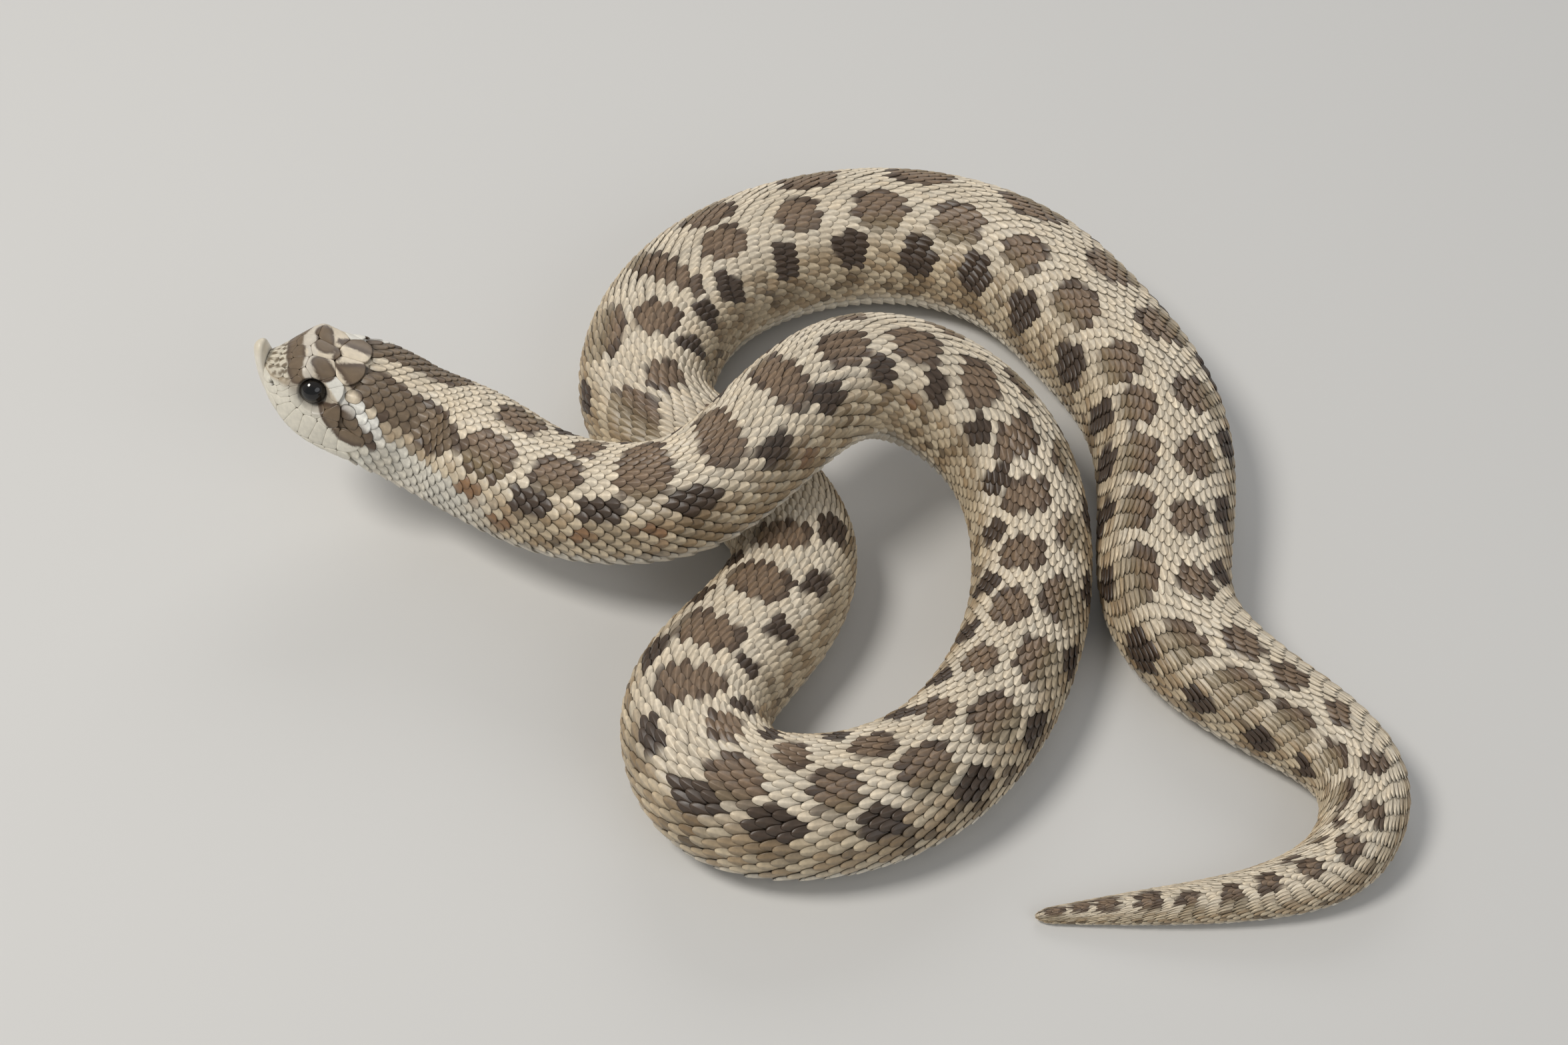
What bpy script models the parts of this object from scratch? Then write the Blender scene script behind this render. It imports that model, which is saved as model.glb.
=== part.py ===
"""A western hognose snake, life size, lying coiled with its neck over its own body and its head raised.

Lengths are in millimetres up to the point where a mesh is made, which is in metres. +Z is up, the floor is
z = 0, and the origin is under the middle of the coiled animal. The head points towards -X.
"""

import math

import bmesh
import bpy
import numpy as np
from mathutils import Vector

MM = 0.001
GAP = 0.3  # clearance between neighbouring pieces

# The body from behind the head to the tip of the tail. Each row is a place on the floor (x, y), the height of
# the belly above the floor, and the width of the body there.
ROUTE = (
    (-46.0, 0.0, 8.0, 19.4),
    (-36.5, -6.2, 7.6, 18.6),
    (-26.0, -10.8, 9.0, 18.0),
    (-14.0, -12.2, 12.6, 17.6),
    (-1.0, -1.5, 15.6, 18.0),
    (13.0, 9.5, 14.4, 19.2),
    (26.0, 8.0, 9.5, 19.2),
    (33.0, 2.0, 5.2, 18.6),
    (36.2, -14.0, 0.8, 17.6),
    (31.0, -35.5, 0.0, 17.6),
    (21.0, -50.0, 0.0, 18.4),
    (5.0, -57.5, 0.0, 19.5),
    (-7.5, -55.0, 0.0, 20.4),
    (-12.0, -43.0, 0.0, 20.6),
    (-3.5, -27.0, 0.0, 19.6),
    (1.5, -12.0, 0.0, 18.4),
    (-5.5, 2.0, 0.0, 18.4),
    (-20.0, 15.0, 0.0, 20.4),
    (-20.8, 29.5, 0.0, 22.0),
    (-12.0, 45.5, 0.0, 23.2),
    (4.0, 55.0, 0.0, 23.8),
    (22.0, 56.5, 0.0, 23.8),
    (37.0, 50.0, 0.0, 23.4),
    (49.0, 34.5, 0.0, 22.6),
    (57.0, 15.5, 0.0, 21.6),
    (56.6, -6.5, 0.0, 20.2),
    (56.0, -25.0, 0.0, 18.4),
    (67.5, -39.5, 0.0, 15.6),
    (78.0, -52.4, 0.0, 12.6),
    (74.6, -62.2, 0.0, 10.4),
    (61.6, -68.3, 0.0, 7.0),
    (49.0, -69.7, 0.0, 5.0),
    (32.6, -70.6, 0.0, 1.8),
)
CENTRE_X = 3.62  # the middle of the whole animal in the route's own coordinates
CENTRE_Y = -1.66
NAPE_TURN = 10.0  # degrees that the neck has already bent to the left where it leaves the head
NAPE_LENGTH = 16.0  # the length over which its sections turn from the head's direction to its own

# Cross-section of the body: rounded back, fuller flanks, and a flat strip along the belly.
SIDES = 20
RESTING_HEIGHT = 0.82  # height over width where the body's weight is on the floor
LIFTED_HEIGHT = 0.86  # the same where it is held in the air
FULLY_LIFTED = 8.0
WIDEST_LEVEL = 0.44  # how far up the section it is widest
BACK_POWER = 2.1
BELLY_POWER = 2.5
BELLY_FLAT = 0.94  # the share of the lower half that is left above the flat
RING_SPACING = 4.2
TRUNK_COLOUR = (0.40, 0.36, 0.29)
TAIL_COLOUR = (0.46, 0.42, 0.35)

# Lengths of the body, by name, each ending this far along the route.
LENGTHS = (
    ("neck", 42.0),
    ("trunk_01_over_crossing", 72.0),
    ("trunk_02_arch", 98.0),
    ("trunk_03_arch_side", 130.0),
    ("trunk_04_front_loop", 162.0),
    ("trunk_05_front_loop", 193.0),
    ("trunk_06_front_loop", 214.0),
    ("trunk_07_under_crossing", 250.0),
    ("trunk_08_left_coil", 284.0),
    ("trunk_09_left_coil", 318.0),
    ("trunk_10_back_coil", 358.0),
    ("trunk_11_right_coil", 402.0),
    ("trunk_12_right_coil", 446.0),
    ("trunk_13_hind", 472.0),
    ("tail_base", 492.0),
    ("tail_tip", None),
)

# The head's own frame: its origin is midway between the eyes, f forward, l to the left and u upward.
EYES_MIDDLE = (-67.4, 7.2, 26.3)
HEAD_TURN = 172.0  # heading, degrees anticlockwise from +X
HEAD_PITCH = 22.0  # nose up
EYE_RADIUS = 1.85
EYE_PLACE = (0.1, 5.4, 0.5)  # f, l and u of the left eye's middle
HEAD_BACK = -14.5  # f of the head's rear face
HEAD_RING_SPACING = 1.3

# The head's sections from the rear face to the tip of the snout: f, half the width, u of the widest level,
# u of the crown, u of the throat, and how square the section is above and below.
HEAD_SECTIONS = (
    (-14.5, 9.5, -5.2, 3.9, -12.4, 2.2, 2.5),
    (-11.0, 9.8, -5.2, 3.9, -11.5, 2.4, 2.5),
    (-7.5, 9.8, -5.2, 3.8, -10.2, 2.6, 2.5),
    (-3.5, 9.1, -6.2, 3.4, -9.7, 2.8, 2.4),
    (0.0, 8.0, -6.6, 3.2, -9.5, 3.2, 2.3),
    (2.5, 6.7, -6.5, 3.0, -9.1, 3.4, 2.2),
    (4.8, 5.1, -5.8, 1.5, -8.3, 2.8, 2.1),
    (6.6, 3.6, -4.6, -0.7, -6.9, 2.0, 2.0),
    (7.8, 2.0, -3.6, -1.9, -5.2, 2.0, 2.0),
)

# The line of the mouth, f and u, from under the snout to its corner.
MOUTH_LINE = ((9.0, -8.3), (4.6, -7.9), (0.5, -7.2), (-3.5, -6.7), (-7.0, -5.5), (-10.2, -3.6))
BROW_RIDGE = 0.75  # how far the brow stands out over the eye
BROW_PLACE = (2.4, 4.8, 3.0)
BROW_REACH = 2.4
NOSTRIL_PLACE = (5.6, 3.7, -3.3)
NOSTRIL_RADIUS = 0.55

# The upturned rostral scale: f and u of its foot and its tip, half its width and its thickness.
ROSTRAL_FOOT = (5.3, -8.6)
ROSTRAL_TIP = (9.5, 0.1)
ROSTRAL_HALF_WIDTH = 2.7
ROSTRAL_THICKNESS = 1.4
ROSTRAL_BULGE = 0.6  # how far its front bows forward between foot and tip
ROSTRAL_RINGS = 12
ROSTRAL_SIDES = 18


def clear_scene():
    for obj in list(bpy.data.objects):
        bpy.data.objects.remove(obj, do_unlink=True)


def material(name, colour, roughness):
    made = bpy.data.materials.new(name)
    made.use_nodes = True
    shader = made.node_tree.nodes["Principled BSDF"]
    shader.inputs["Base Color"].default_value = (*colour, 1.0)
    shader.inputs["Roughness"].default_value = roughness
    shader.inputs["Metallic"].default_value = 0.0
    made.diffuse_color = (*colour, 1.0)
    return made


def smooth_rows(rows, places, knots, start_slope):
    """A cubic spline through rows at knots, read at places: start_slope at its start, straight at its end."""
    count = len(knots)
    steps = np.diff(knots)
    rises = np.diff(rows, axis=0) / steps[:, None]
    matrix = np.eye(count)
    right = np.zeros_like(rows)
    matrix[0, :2] = 2.0 * steps[0], steps[0]
    right[0] = 6.0 * (rises[0] - start_slope)
    for i in range(1, count - 1):
        matrix[i, i - 1 : i + 2] = steps[i - 1], 2.0 * (steps[i - 1] + steps[i]), steps[i]
        right[i] = 6.0 * (rises[i] - rises[i - 1])
    bends = np.linalg.solve(matrix, right)
    left = np.clip(np.searchsorted(knots, places, side="right") - 1, 0, count - 2)
    step = steps[left][:, None]
    before = (places - knots[left])[:, None]
    after = (knots[left + 1] - places)[:, None]
    curved = (bends[left] * after**3 + bends[left + 1] * before**3) / (6.0 * step)
    low = rows[left] / step - bends[left] * step / 6.0
    high = rows[left + 1] / step - bends[left + 1] * step / 6.0
    return curved + low * after + high * before


def smooth_step(share):
    share = np.clip(share, 0.0, 1.0)
    return share * share * (3.0 - 2.0 * share)


def head_axes():
    turn = math.radians(HEAD_TURN)
    pitch = math.radians(HEAD_PITCH)
    forward = Vector((math.cos(turn) * math.cos(pitch), math.sin(turn) * math.cos(pitch), math.sin(pitch)))
    left = Vector((-math.sin(turn), math.cos(turn), 0.0))
    return forward, left, forward.cross(left)


def head_point(f, across, up):
    """The place in the room, in millimetres, of a point in the head's frame."""
    forward, left, upward = head_axes()
    middle = Vector((EYES_MIDDLE[0] - CENTRE_X, EYES_MIDDLE[1] - CENTRE_Y, EYES_MIDDLE[2]))
    return middle + forward * f + left * across + upward * up


def body_course():
    """Finely spaced middles, headings, heights and widths of the body, and the length up to each."""
    rear, half, _, crown, throat = HEAD_SECTIONS[0][:5]
    nape = head_point(rear, 0.0, (crown + throat) / 2.0)
    first = (nape.x + CENTRE_X, nape.y + CENTRE_Y, nape.z - half * LIFTED_HEIGHT, 2.0 * half)
    rows = np.array((first, *ROUTE)) - (CENTRE_X, CENTRE_Y, 0.0, 0.0)
    knots = np.concatenate([[0.0], np.cumsum(np.linalg.norm(np.diff(rows[:, :2], axis=0), axis=1))])
    leaving = math.radians(HEAD_TURN - 180.0 - NAPE_TURN)
    fall = -math.tan(math.radians(HEAD_PITCH))
    start_slope = np.array([math.cos(leaving), math.sin(leaving), fall, 0.0])
    places = np.linspace(0.0, knots[-1], 1200)
    x, y, lift, width = smooth_rows(rows, places, knots, start_slope).T
    lift = np.maximum(lift, 0.0)
    held = smooth_step(lift / FULLY_LIFTED)
    height = width * (RESTING_HEIGHT + (LIFTED_HEIGHT - RESTING_HEIGHT) * held)
    middles = np.stack([x, y, lift + height / 2.0], axis=1)
    lengths = np.concatenate([[0.0], np.cumsum(np.linalg.norm(np.diff(middles, axis=0), axis=1))])
    headings = np.gradient(middles, axis=0)
    headings /= np.linalg.norm(headings, axis=1)[:, None]
    along_head = -np.array(head_axes()[0])
    headings = along_head + smooth_step(lengths / NAPE_LENGTH)[:, None] * (headings - along_head)
    headings /= np.linalg.norm(headings, axis=1)[:, None]
    return middles, headings, height, width, lengths


def half_section(width, low, widest, high, back_power, belly_power, angle):
    """One point of a section, across and up: angle runs from 0 at the back to 180 degrees at the belly."""
    back = math.cos(angle) >= 0.0
    power = 2.0 / (back_power if back else belly_power)
    across = 0.5 * width * abs(math.sin(angle)) ** power
    rise = abs(math.cos(angle)) ** power
    return across, widest + rise * (high - widest) if back else widest - rise * (widest - low)


def body_section(width, height):
    """The body's section, across and up from its middle, with its belly cut flat at -height / 2."""
    low = height * (WIDEST_LEVEL - WIDEST_LEVEL / BELLY_FLAT)
    points = []
    for i in range(SIDES):
        angle = 2.0 * math.pi * i / SIDES
        across, up = half_section(width, low, WIDEST_LEVEL * height, height, BACK_POWER, BELLY_POWER, angle)
        points.append((math.copysign(across, math.sin(angle)), max(up, 0.0) - height / 2.0))
    return points


def body_ring(course, place):
    """The body's section, as points in the room, this far along the route."""
    middles, headings, height, width, lengths = course
    middle = Vector([np.interp(place, lengths, middles[:, axis]) for axis in range(3)])
    heading = Vector([np.interp(place, lengths, headings[:, axis]) for axis in range(3)]).normalized()
    side = Vector((-heading.y, heading.x, 0.0)).normalized()
    upward = heading.cross(side)
    section = body_section(np.interp(place, lengths, width), np.interp(place, lengths, height))
    return [middle + side * across + upward * up for across, up in section]


def head_swelling(f, across, up):
    """How far the brow ridges push the head's surface out."""
    reach = (Vector((f, abs(across), up)) - Vector(BROW_PLACE)).length / BROW_REACH
    return BROW_RIDGE * math.exp(-2.0 * reach * reach)


def head_ring(f):
    """The head's section at f, as points in the room."""
    table = np.array(HEAD_SECTIONS)
    start_slope = (table[1, 1:] - table[0, 1:]) / (table[1, 0] - table[0, 0])
    half, widest, crown, throat, above, below = smooth_rows(
        table[:, 1:], np.array([f]), table[:, 0], start_slope
    )[0]
    points = []
    for i in range(SIDES):
        angle = 2.0 * math.pi * i / SIDES
        across, up = half_section(2.0 * half, throat, widest, crown, above, below, angle)
        out = Vector((math.sin(angle), math.cos(angle))) * head_swelling(f, across, up)
        points.append(head_point(f, -(math.copysign(across, math.sin(angle)) + out.x), up + out.y))
    return points


def loft(name, rings, finish, tip=None, root=None):
    """A closed skin over the rings, whose ends are flat, or drawn in to a tip and a root point."""
    mesh = bmesh.new()
    loops = [[mesh.verts.new(point * MM) for point in ring] for ring in rings]
    for near, far in zip(loops, loops[1:]):
        for i in range(len(near)):
            j = (i + 1) % len(near)
            mesh.faces.new((near[i], near[j], far[j], far[i]))
    for loop, point in ((loops[0], root), (loops[-1], tip)):
        if point is None:
            mesh.faces.new(loop)
            continue
        end = mesh.verts.new(point * MM)
        for i in range(len(loop)):
            mesh.faces.new((loop[i], loop[(i + 1) % len(loop)], end))
    return solid(name, mesh, finish)


def solid(name, mesh, finish, sharp_angle=50.0):
    """An object made from a bmesh, facing out and shaded smooth up to sharp_angle degrees."""
    bmesh.ops.recalc_face_normals(mesh, faces=mesh.faces)
    data = bpy.data.meshes.new(name)
    mesh.to_mesh(data)
    mesh.free()
    data.shade_smooth()
    data.set_sharp_from_angle(angle=math.radians(sharp_angle))
    obj = bpy.data.objects.new(name, data)
    bpy.context.scene.collection.objects.link(obj)
    if finish:
        data.materials.append(finish)
    return obj


def as_cutter(obj):
    obj.hide_render = True
    obj.display_type = "WIRE"
    return obj


def cut(obj, cutter, operation="DIFFERENCE"):
    modifier = obj.modifiers.new(cutter.name, "BOOLEAN")
    modifier.operation = operation
    modifier.object = cutter
    modifier.solver = "EXACT"


def ball(name, middle, radius, finish=None):
    mesh = bmesh.new()
    bmesh.ops.create_uvsphere(mesh, u_segments=20, v_segments=12, radius=radius * MM)
    obj = solid(name, mesh, finish)
    obj.location = middle * MM
    return obj


def mouth_block(name, clearance):
    """A block below the line of the mouth, grown by clearance, that parts the lower jaw from the head."""
    across, floor = 14.0, -16.0
    line = [(f, u + clearance) for f, u in MOUTH_LINE]
    corner = line[-1][0] - clearance
    outline = [*line[:-1], (corner, line[-1][1]), (corner, floor), (MOUTH_LINE[0][0], floor)]
    mesh = bmesh.new()
    loops = [[mesh.verts.new(head_point(f, side, u) * MM) for f, u in outline] for side in (-across, across)]
    for i in range(len(outline)):
        j = (i + 1) % len(outline)
        mesh.faces.new((loops[0][i], loops[0][j], loops[1][j], loops[1][i]))
    for loop in loops:
        mesh.faces.new(loop)
    return as_cutter(solid(name, mesh, None))


def rostral(name, finish, grown=0.0):
    """The spade-shaped scale that stands up from the end of the snout."""
    foot = Vector(ROSTRAL_FOOT)
    along = Vector(ROSTRAL_TIP) - foot
    ahead = Vector((along.y, -along.x)).normalized()
    rings = []
    for k in range(ROSTRAL_RINGS):
        share = (k + 0.5) / ROSTRAL_RINGS
        taper = (1.0 - (2.0 * share - 1.0) ** 4) ** 0.5
        half_width = ROSTRAL_HALF_WIDTH * taper * (1.0 - 0.3 * share) + grown
        half_depth = 0.5 * ROSTRAL_THICKNESS * taper * (1.0 - 0.35 * share) + grown
        middle = foot + along * share + ahead * ROSTRAL_BULGE * 4.0 * share * (1.0 - share)
        ring = []
        for i in range(ROSTRAL_SIDES):
            angle = 2.0 * math.pi * i / ROSTRAL_SIDES
            place = middle + ahead * half_depth * math.sin(angle)
            ring.append(head_point(place.x, half_width * math.cos(angle), place.y))
        rings.append(ring)
    ends = (foot - along.normalized() * grown, foot + along + along.normalized() * grown)
    root, tip = (head_point(end.x, 0.0, end.y) for end in ends)
    return loft(name, rings, finish, tip=tip, root=root)


def whole_head(name, finish):
    nose = HEAD_SECTIONS[-1][0]
    count = round((nose - HEAD_BACK) / HEAD_RING_SPACING)
    places = [HEAD_BACK + (nose - HEAD_BACK) * k / count for k in range(count + 1)]
    tip = head_point(nose + 0.8, 0.0, HEAD_SECTIONS[-1][2])
    return loft(name, [head_ring(f) for f in places], finish, tip=tip)


def make_head(skin, jaw_skin, horn, eye):
    head = whole_head("head", skin)
    cut(head, mouth_block("mouth_cutter", GAP))
    cut(head, as_cutter(rostral("rostral_cutter", None, GAP)))
    jaw = whole_head("lower_jaw", jaw_skin)
    cut(jaw, mouth_block("jaw_limit", 0.0), "INTERSECT")
    cut(jaw, as_cutter(rostral("jaw_rostral_cutter", None, GAP)))
    rostral("rostral_scale", horn)
    for side, name in ((1.0, "left"), (-1.0, "right")):
        middle = head_point(EYE_PLACE[0], side * EYE_PLACE[1], EYE_PLACE[2])
        ball(f"eye_{name}", middle, EYE_RADIUS, eye)
        cut(head, as_cutter(ball(f"socket_cutter_{name}", middle, EYE_RADIUS + GAP)))
        nostril = head_point(NOSTRIL_PLACE[0], side * NOSTRIL_PLACE[1], NOSTRIL_PLACE[2])
        cut(head, as_cutter(ball(f"nostril_cutter_{name}", nostril, NOSTRIL_RADIUS)))


def make_body():
    course = body_course()
    whole = course[-1][-1]
    start = GAP
    for name, end in LENGTHS:
        stop = whole - 1.0 if end is None else end - GAP
        count = max(2, round((stop - start) / RING_SPACING))
        rings = [body_ring(course, start + (stop - start) * k / count) for k in range(count + 1)]
        tip = Vector(course[0][-1]) if end is None else None
        colour = TAIL_COLOUR if name.startswith("tail") else TRUNK_COLOUR
        loft(name, rings, material(f"{name}_scales", colour, 0.55), tip=tip)
        start = stop + GAP


def main():
    clear_scene()
    make_head(
        material("head_scales", (0.40, 0.36, 0.30), 0.50),
        material("chin_scales", (0.60, 0.58, 0.52), 0.45),
        material("rostral_horn", (0.66, 0.61, 0.53), 0.40),
        material("eye", (0.01, 0.01, 0.01), 0.05),
    )
    make_body()


main()
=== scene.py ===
"""A western hognose snake as a life-size still, under studio light.

One skin runs from the snout to the tail, and every scale is a small solid plate over it.
"""

import math

import bpy
import numpy as np
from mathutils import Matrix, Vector


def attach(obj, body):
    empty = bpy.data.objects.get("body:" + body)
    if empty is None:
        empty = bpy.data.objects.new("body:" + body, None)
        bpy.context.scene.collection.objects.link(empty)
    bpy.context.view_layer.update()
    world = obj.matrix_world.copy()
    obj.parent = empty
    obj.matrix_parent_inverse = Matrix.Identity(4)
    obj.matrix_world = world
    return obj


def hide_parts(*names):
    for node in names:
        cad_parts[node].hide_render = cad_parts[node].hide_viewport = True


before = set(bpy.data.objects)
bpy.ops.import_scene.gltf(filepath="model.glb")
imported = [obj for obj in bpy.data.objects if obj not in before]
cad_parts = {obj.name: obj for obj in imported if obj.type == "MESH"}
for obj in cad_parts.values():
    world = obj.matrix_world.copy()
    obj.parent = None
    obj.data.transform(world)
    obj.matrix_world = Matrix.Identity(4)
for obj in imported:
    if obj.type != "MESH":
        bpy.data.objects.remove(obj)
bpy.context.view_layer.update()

# ------------------------ the animal's shape, in mm, as in the CAD
# the body from the nape on: x and y of its middle, height of its underside, width
ROUTE = (
    (-46, 0, 8, 19.4), (-36.5, -6.2, 7.6, 18.6), (-26, -10.8, 9, 18),
    (-14, -12.2, 12.6, 17.6), (-1, -1.5, 15.6, 18), (13, 9.5, 14.4, 19.2),
    (26, 8, 9.5, 19.2), (33, 2, 5.2, 18.6), (36.2, -14, 0.8, 17.6),
    (31, -35.5, 0, 17.6), (21, -50, 0, 18.4), (5, -57.5, 0, 19.5),
    (-7.5, -55, 0, 20.4), (-12, -43, 0, 20.6), (-3.5, -27, 0, 19.6),
    (1.5, -12, 0, 18.4), (-5.5, 2, 0, 18.4), (-20, 15, 0, 20.4),
    (-20.8, 29.5, 0, 22), (-12, 45.5, 0, 23.2), (4, 55, 0, 23.8),
    (22, 56.5, 0, 23.8), (37, 50, 0, 23.4), (49, 34.5, 0, 22.6),
    (57, 15.5, 0, 21.6), (56.6, -6.5, 0, 20.2), (56, -25, 0, 18.4),
    (67.5, -39.5, 0, 15.6), (78, -52.4, 0, 12.6), (74.6, -62.2, 0, 10.4),
    (61.6, -68.3, 0, 7), (49, -69.7, 0, 5), (32.6, -70.6, 0, 1.8),
)
CENTRE = (3.62, -1.66)
NAPE_TURN = 10.0  # degrees that the neck has bent to the left where it leaves the head
NAPE_LENGTH = 16.0
RESTING_HEIGHT = 0.82
LIFTED_HEIGHT = 0.86
FULLY_LIFTED = 8.0
COURSE_SAMPLES = 1200
WIDEST_LEVEL = 0.44
BACK_POWER = 2.1
BELLY_POWER = 2.5
BELLY_FLAT = 0.94
EYES_MIDDLE = (-67.4, 7.2, 26.3)
HEAD_TURN = 172.0
HEAD_PITCH = 22.0
# f ahead of the eyes, half width, widest level, crown, throat, power above, power below
HEAD_SECTIONS = (
    (-14.5, 9.5, -5.2, 3.9, -12.4, 2.2, 2.5),
    (-11.0, 9.8, -5.2, 3.9, -11.5, 2.4, 2.5),
    (-7.5, 9.8, -5.2, 3.8, -10.2, 2.6, 2.5),
    (-3.5, 9.1, -6.2, 3.4, -9.7, 2.8, 2.4),
    (0.0, 8.0, -6.6, 3.2, -9.5, 3.2, 2.3),
    (2.5, 6.7, -6.5, 3.0, -9.1, 3.4, 2.2),
    (4.8, 5.1, -5.8, 1.5, -8.3, 2.8, 2.1),
    (6.6, 3.6, -4.6, -0.7, -6.9, 2.0, 2.0),
    (7.8, 2.0, -3.6, -1.9, -5.2, 2.0, 2.0),
)
BROW_RIDGE = 0.75
BROW_PLACE = (2.4, 4.8, 3.0)  # f, across and up, as all places on the head
BROW_REACH = 2.4
EYE_RADIUS = 2.0
LEFT_EYE = (-0.1, 5.2, 0.05)
RIGHT_EYE = (-0.1, -4.85, 0.05)
NOSTRIL_PLACE = (5.6, 3.7, -3.3)
ROSTRAL_FOOT = (5.3, -8.6)
ROSTRAL_TIP = (9.5, 0.1)
ROSTRAL_HALF_WIDTH = 3.7
ROSTRAL_NARROWING = 0.64
ROSTRAL_WRAP = 0.13
ROSTRAL_THICKNESS = 2.1
ROSTRAL_BULGE = 0.6


def ramp(value, start=0.0, width=1.0):
    """0 at start, 1 a width further on, which may be negative, with a smooth step between."""
    share = np.clip((value - start) / width, 0.0, 1.0)
    return share * share * (3.0 - 2.0 * share)


def unit(vectors):
    return vectors / np.linalg.norm(vectors, axis=-1, keepdims=True)


def running(steps):
    """Running sums of steps, from 0 on."""
    return np.concatenate([[0.0], np.cumsum(steps)])


def smooth_rows(rows, places, knots, start_slope):
    """A cubic spline through rows at knots, read at places: start_slope at its start, straight at its end."""
    count = len(knots)
    steps = np.diff(knots)
    rises = np.diff(rows, axis=0) / steps[:, None]
    matrix = np.eye(count)
    right = np.zeros_like(rows)
    matrix[0, :2] = 2.0 * steps[0], steps[0]
    right[0] = 6.0 * (rises[0] - start_slope)
    for i in range(1, count - 1):
        matrix[i, i - 1 : i + 2] = steps[i - 1], 2.0 * (steps[i - 1] + steps[i]), steps[i]
        right[i] = 6.0 * (rises[i] - rises[i - 1])
    bends = np.linalg.solve(matrix, right)
    left = np.clip(np.searchsorted(knots, places, side="right") - 1, 0, count - 2)
    step = steps[left][:, None]
    before = (places - knots[left])[:, None]
    after = (knots[left + 1] - places)[:, None]
    curved = (bends[left] * after**3 + bends[left + 1] * before**3) / (6.0 * step)
    low = rows[left] / step - bends[left] * step / 6.0
    high = rows[left + 1] / step - bends[left + 1] * step / 6.0
    return curved + low * after + high * before


def head_frame():
    """Forward, left and up of the head, one in each row."""
    turn = math.radians(HEAD_TURN)
    pitch = math.radians(HEAD_PITCH)
    forward = np.array([math.cos(turn) * math.cos(pitch), math.sin(turn) * math.cos(pitch), math.sin(pitch)])
    left = np.array([-math.sin(turn), math.cos(turn), 0.0])
    return np.array([forward, left, np.cross(forward, left)])


HEAD_AXES = head_frame()


def head_place(points):
    """Places in the room of points f, l, u in the head's frame."""
    middle = np.array([EYES_MIDDLE[0] - CENTRE[0], EYES_MIDDLE[1] - CENTRE[1], EYES_MIDDLE[2]])
    return middle + np.asarray(points) @ HEAD_AXES


def body_course(step):
    """Places along the body, and its middles, headings, heights and widths there."""
    rear, half, _, crown, throat = HEAD_SECTIONS[0][:5]
    nape = head_place((rear, 0.0, (crown + throat) / 2.0))
    first = (nape[0] + CENTRE[0], nape[1] + CENTRE[1], nape[2] - half * LIFTED_HEIGHT, 2.0 * half)
    rows = np.array((first, *ROUTE)) - (*CENTRE, 0.0, 0.0)
    knots = running(np.linalg.norm(np.diff(rows[:, :2], axis=0), axis=1))
    leaving = math.radians(HEAD_TURN - 180.0 - NAPE_TURN)
    fall = -math.tan(math.radians(HEAD_PITCH))
    start_slope = np.array([math.cos(leaving), math.sin(leaving), fall, 0.0])
    samples = np.linspace(0.0, knots[-1], COURSE_SAMPLES)
    x, y, lift, width = smooth_rows(rows, samples, knots, start_slope).T
    lift = np.maximum(lift, 0.0)
    height = width * (RESTING_HEIGHT + (LIFTED_HEIGHT - RESTING_HEIGHT) * ramp(lift, 0.0, FULLY_LIFTED))
    middles = np.stack([x, y, lift + height / 2.0], axis=1)
    lengths = running(np.linalg.norm(np.diff(middles, axis=0), axis=1))
    headings = unit(np.gradient(middles, axis=0))
    along_head = -HEAD_AXES[0]
    headings = along_head + ramp(lengths, 0.0, NAPE_LENGTH)[:, None] * (headings - along_head)
    places = np.arange(0.0, lengths[-1], step)

    course = np.c_[middles, headings, height, width]
    course = np.stack([np.interp(places, lengths, column) for column in course.T], axis=-1)
    return places, course[:, :3], unit(course[:, 3:6]), course[:, 6], course[:, 7]


# ------------------------ its surface as a chart
# s: mm along the animal, 0 at the nape and negative on the head. a: 0 on the back, 1 and -1 under the belly,
# positive on the animal's right. q: a as mm round it, from the middle of the back or of the belly.
BODY_STEP = 0.5
HEAD_STEP = 0.25
HALF_COLUMNS = 121
ANGLES = np.linspace(0.0, math.pi, 181)
TAIL_ROUNDING = 2.2


def half_outline(half, widest, high, low, above, below):
    """Across and up of half a section for each row, from the back down to the belly."""
    back = np.cos(ANGLES) >= 0.0
    power = 2.0 / np.where(back, above[:, None], below[:, None])
    across = half[:, None] * np.abs(np.sin(ANGLES)) ** power
    rise = np.abs(np.cos(ANGLES)) ** power
    reach = np.where(back, (high - widest)[:, None], (low - widest)[:, None])
    return across, widest[:, None] + rise * reach


def evenly(across, up):
    """The same half sections at even steps round them, and the length round each."""
    lengths = np.array([running(steps) for steps in np.hypot(np.diff(across, axis=1), np.diff(up, axis=1))])
    places = np.linspace(0.0, 1.0, HALF_COLUMNS) * lengths[:, -1:]
    across = np.array([np.interp(*row) for row in zip(places, lengths, across)])
    return across, np.array([np.interp(*row) for row in zip(places, lengths, up)]), lengths[:, -1]


def both_sides(across, up):
    return np.concatenate([-across[:, :0:-1], across], axis=1), np.concatenate([up[:, :0:-1], up], axis=1)


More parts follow.
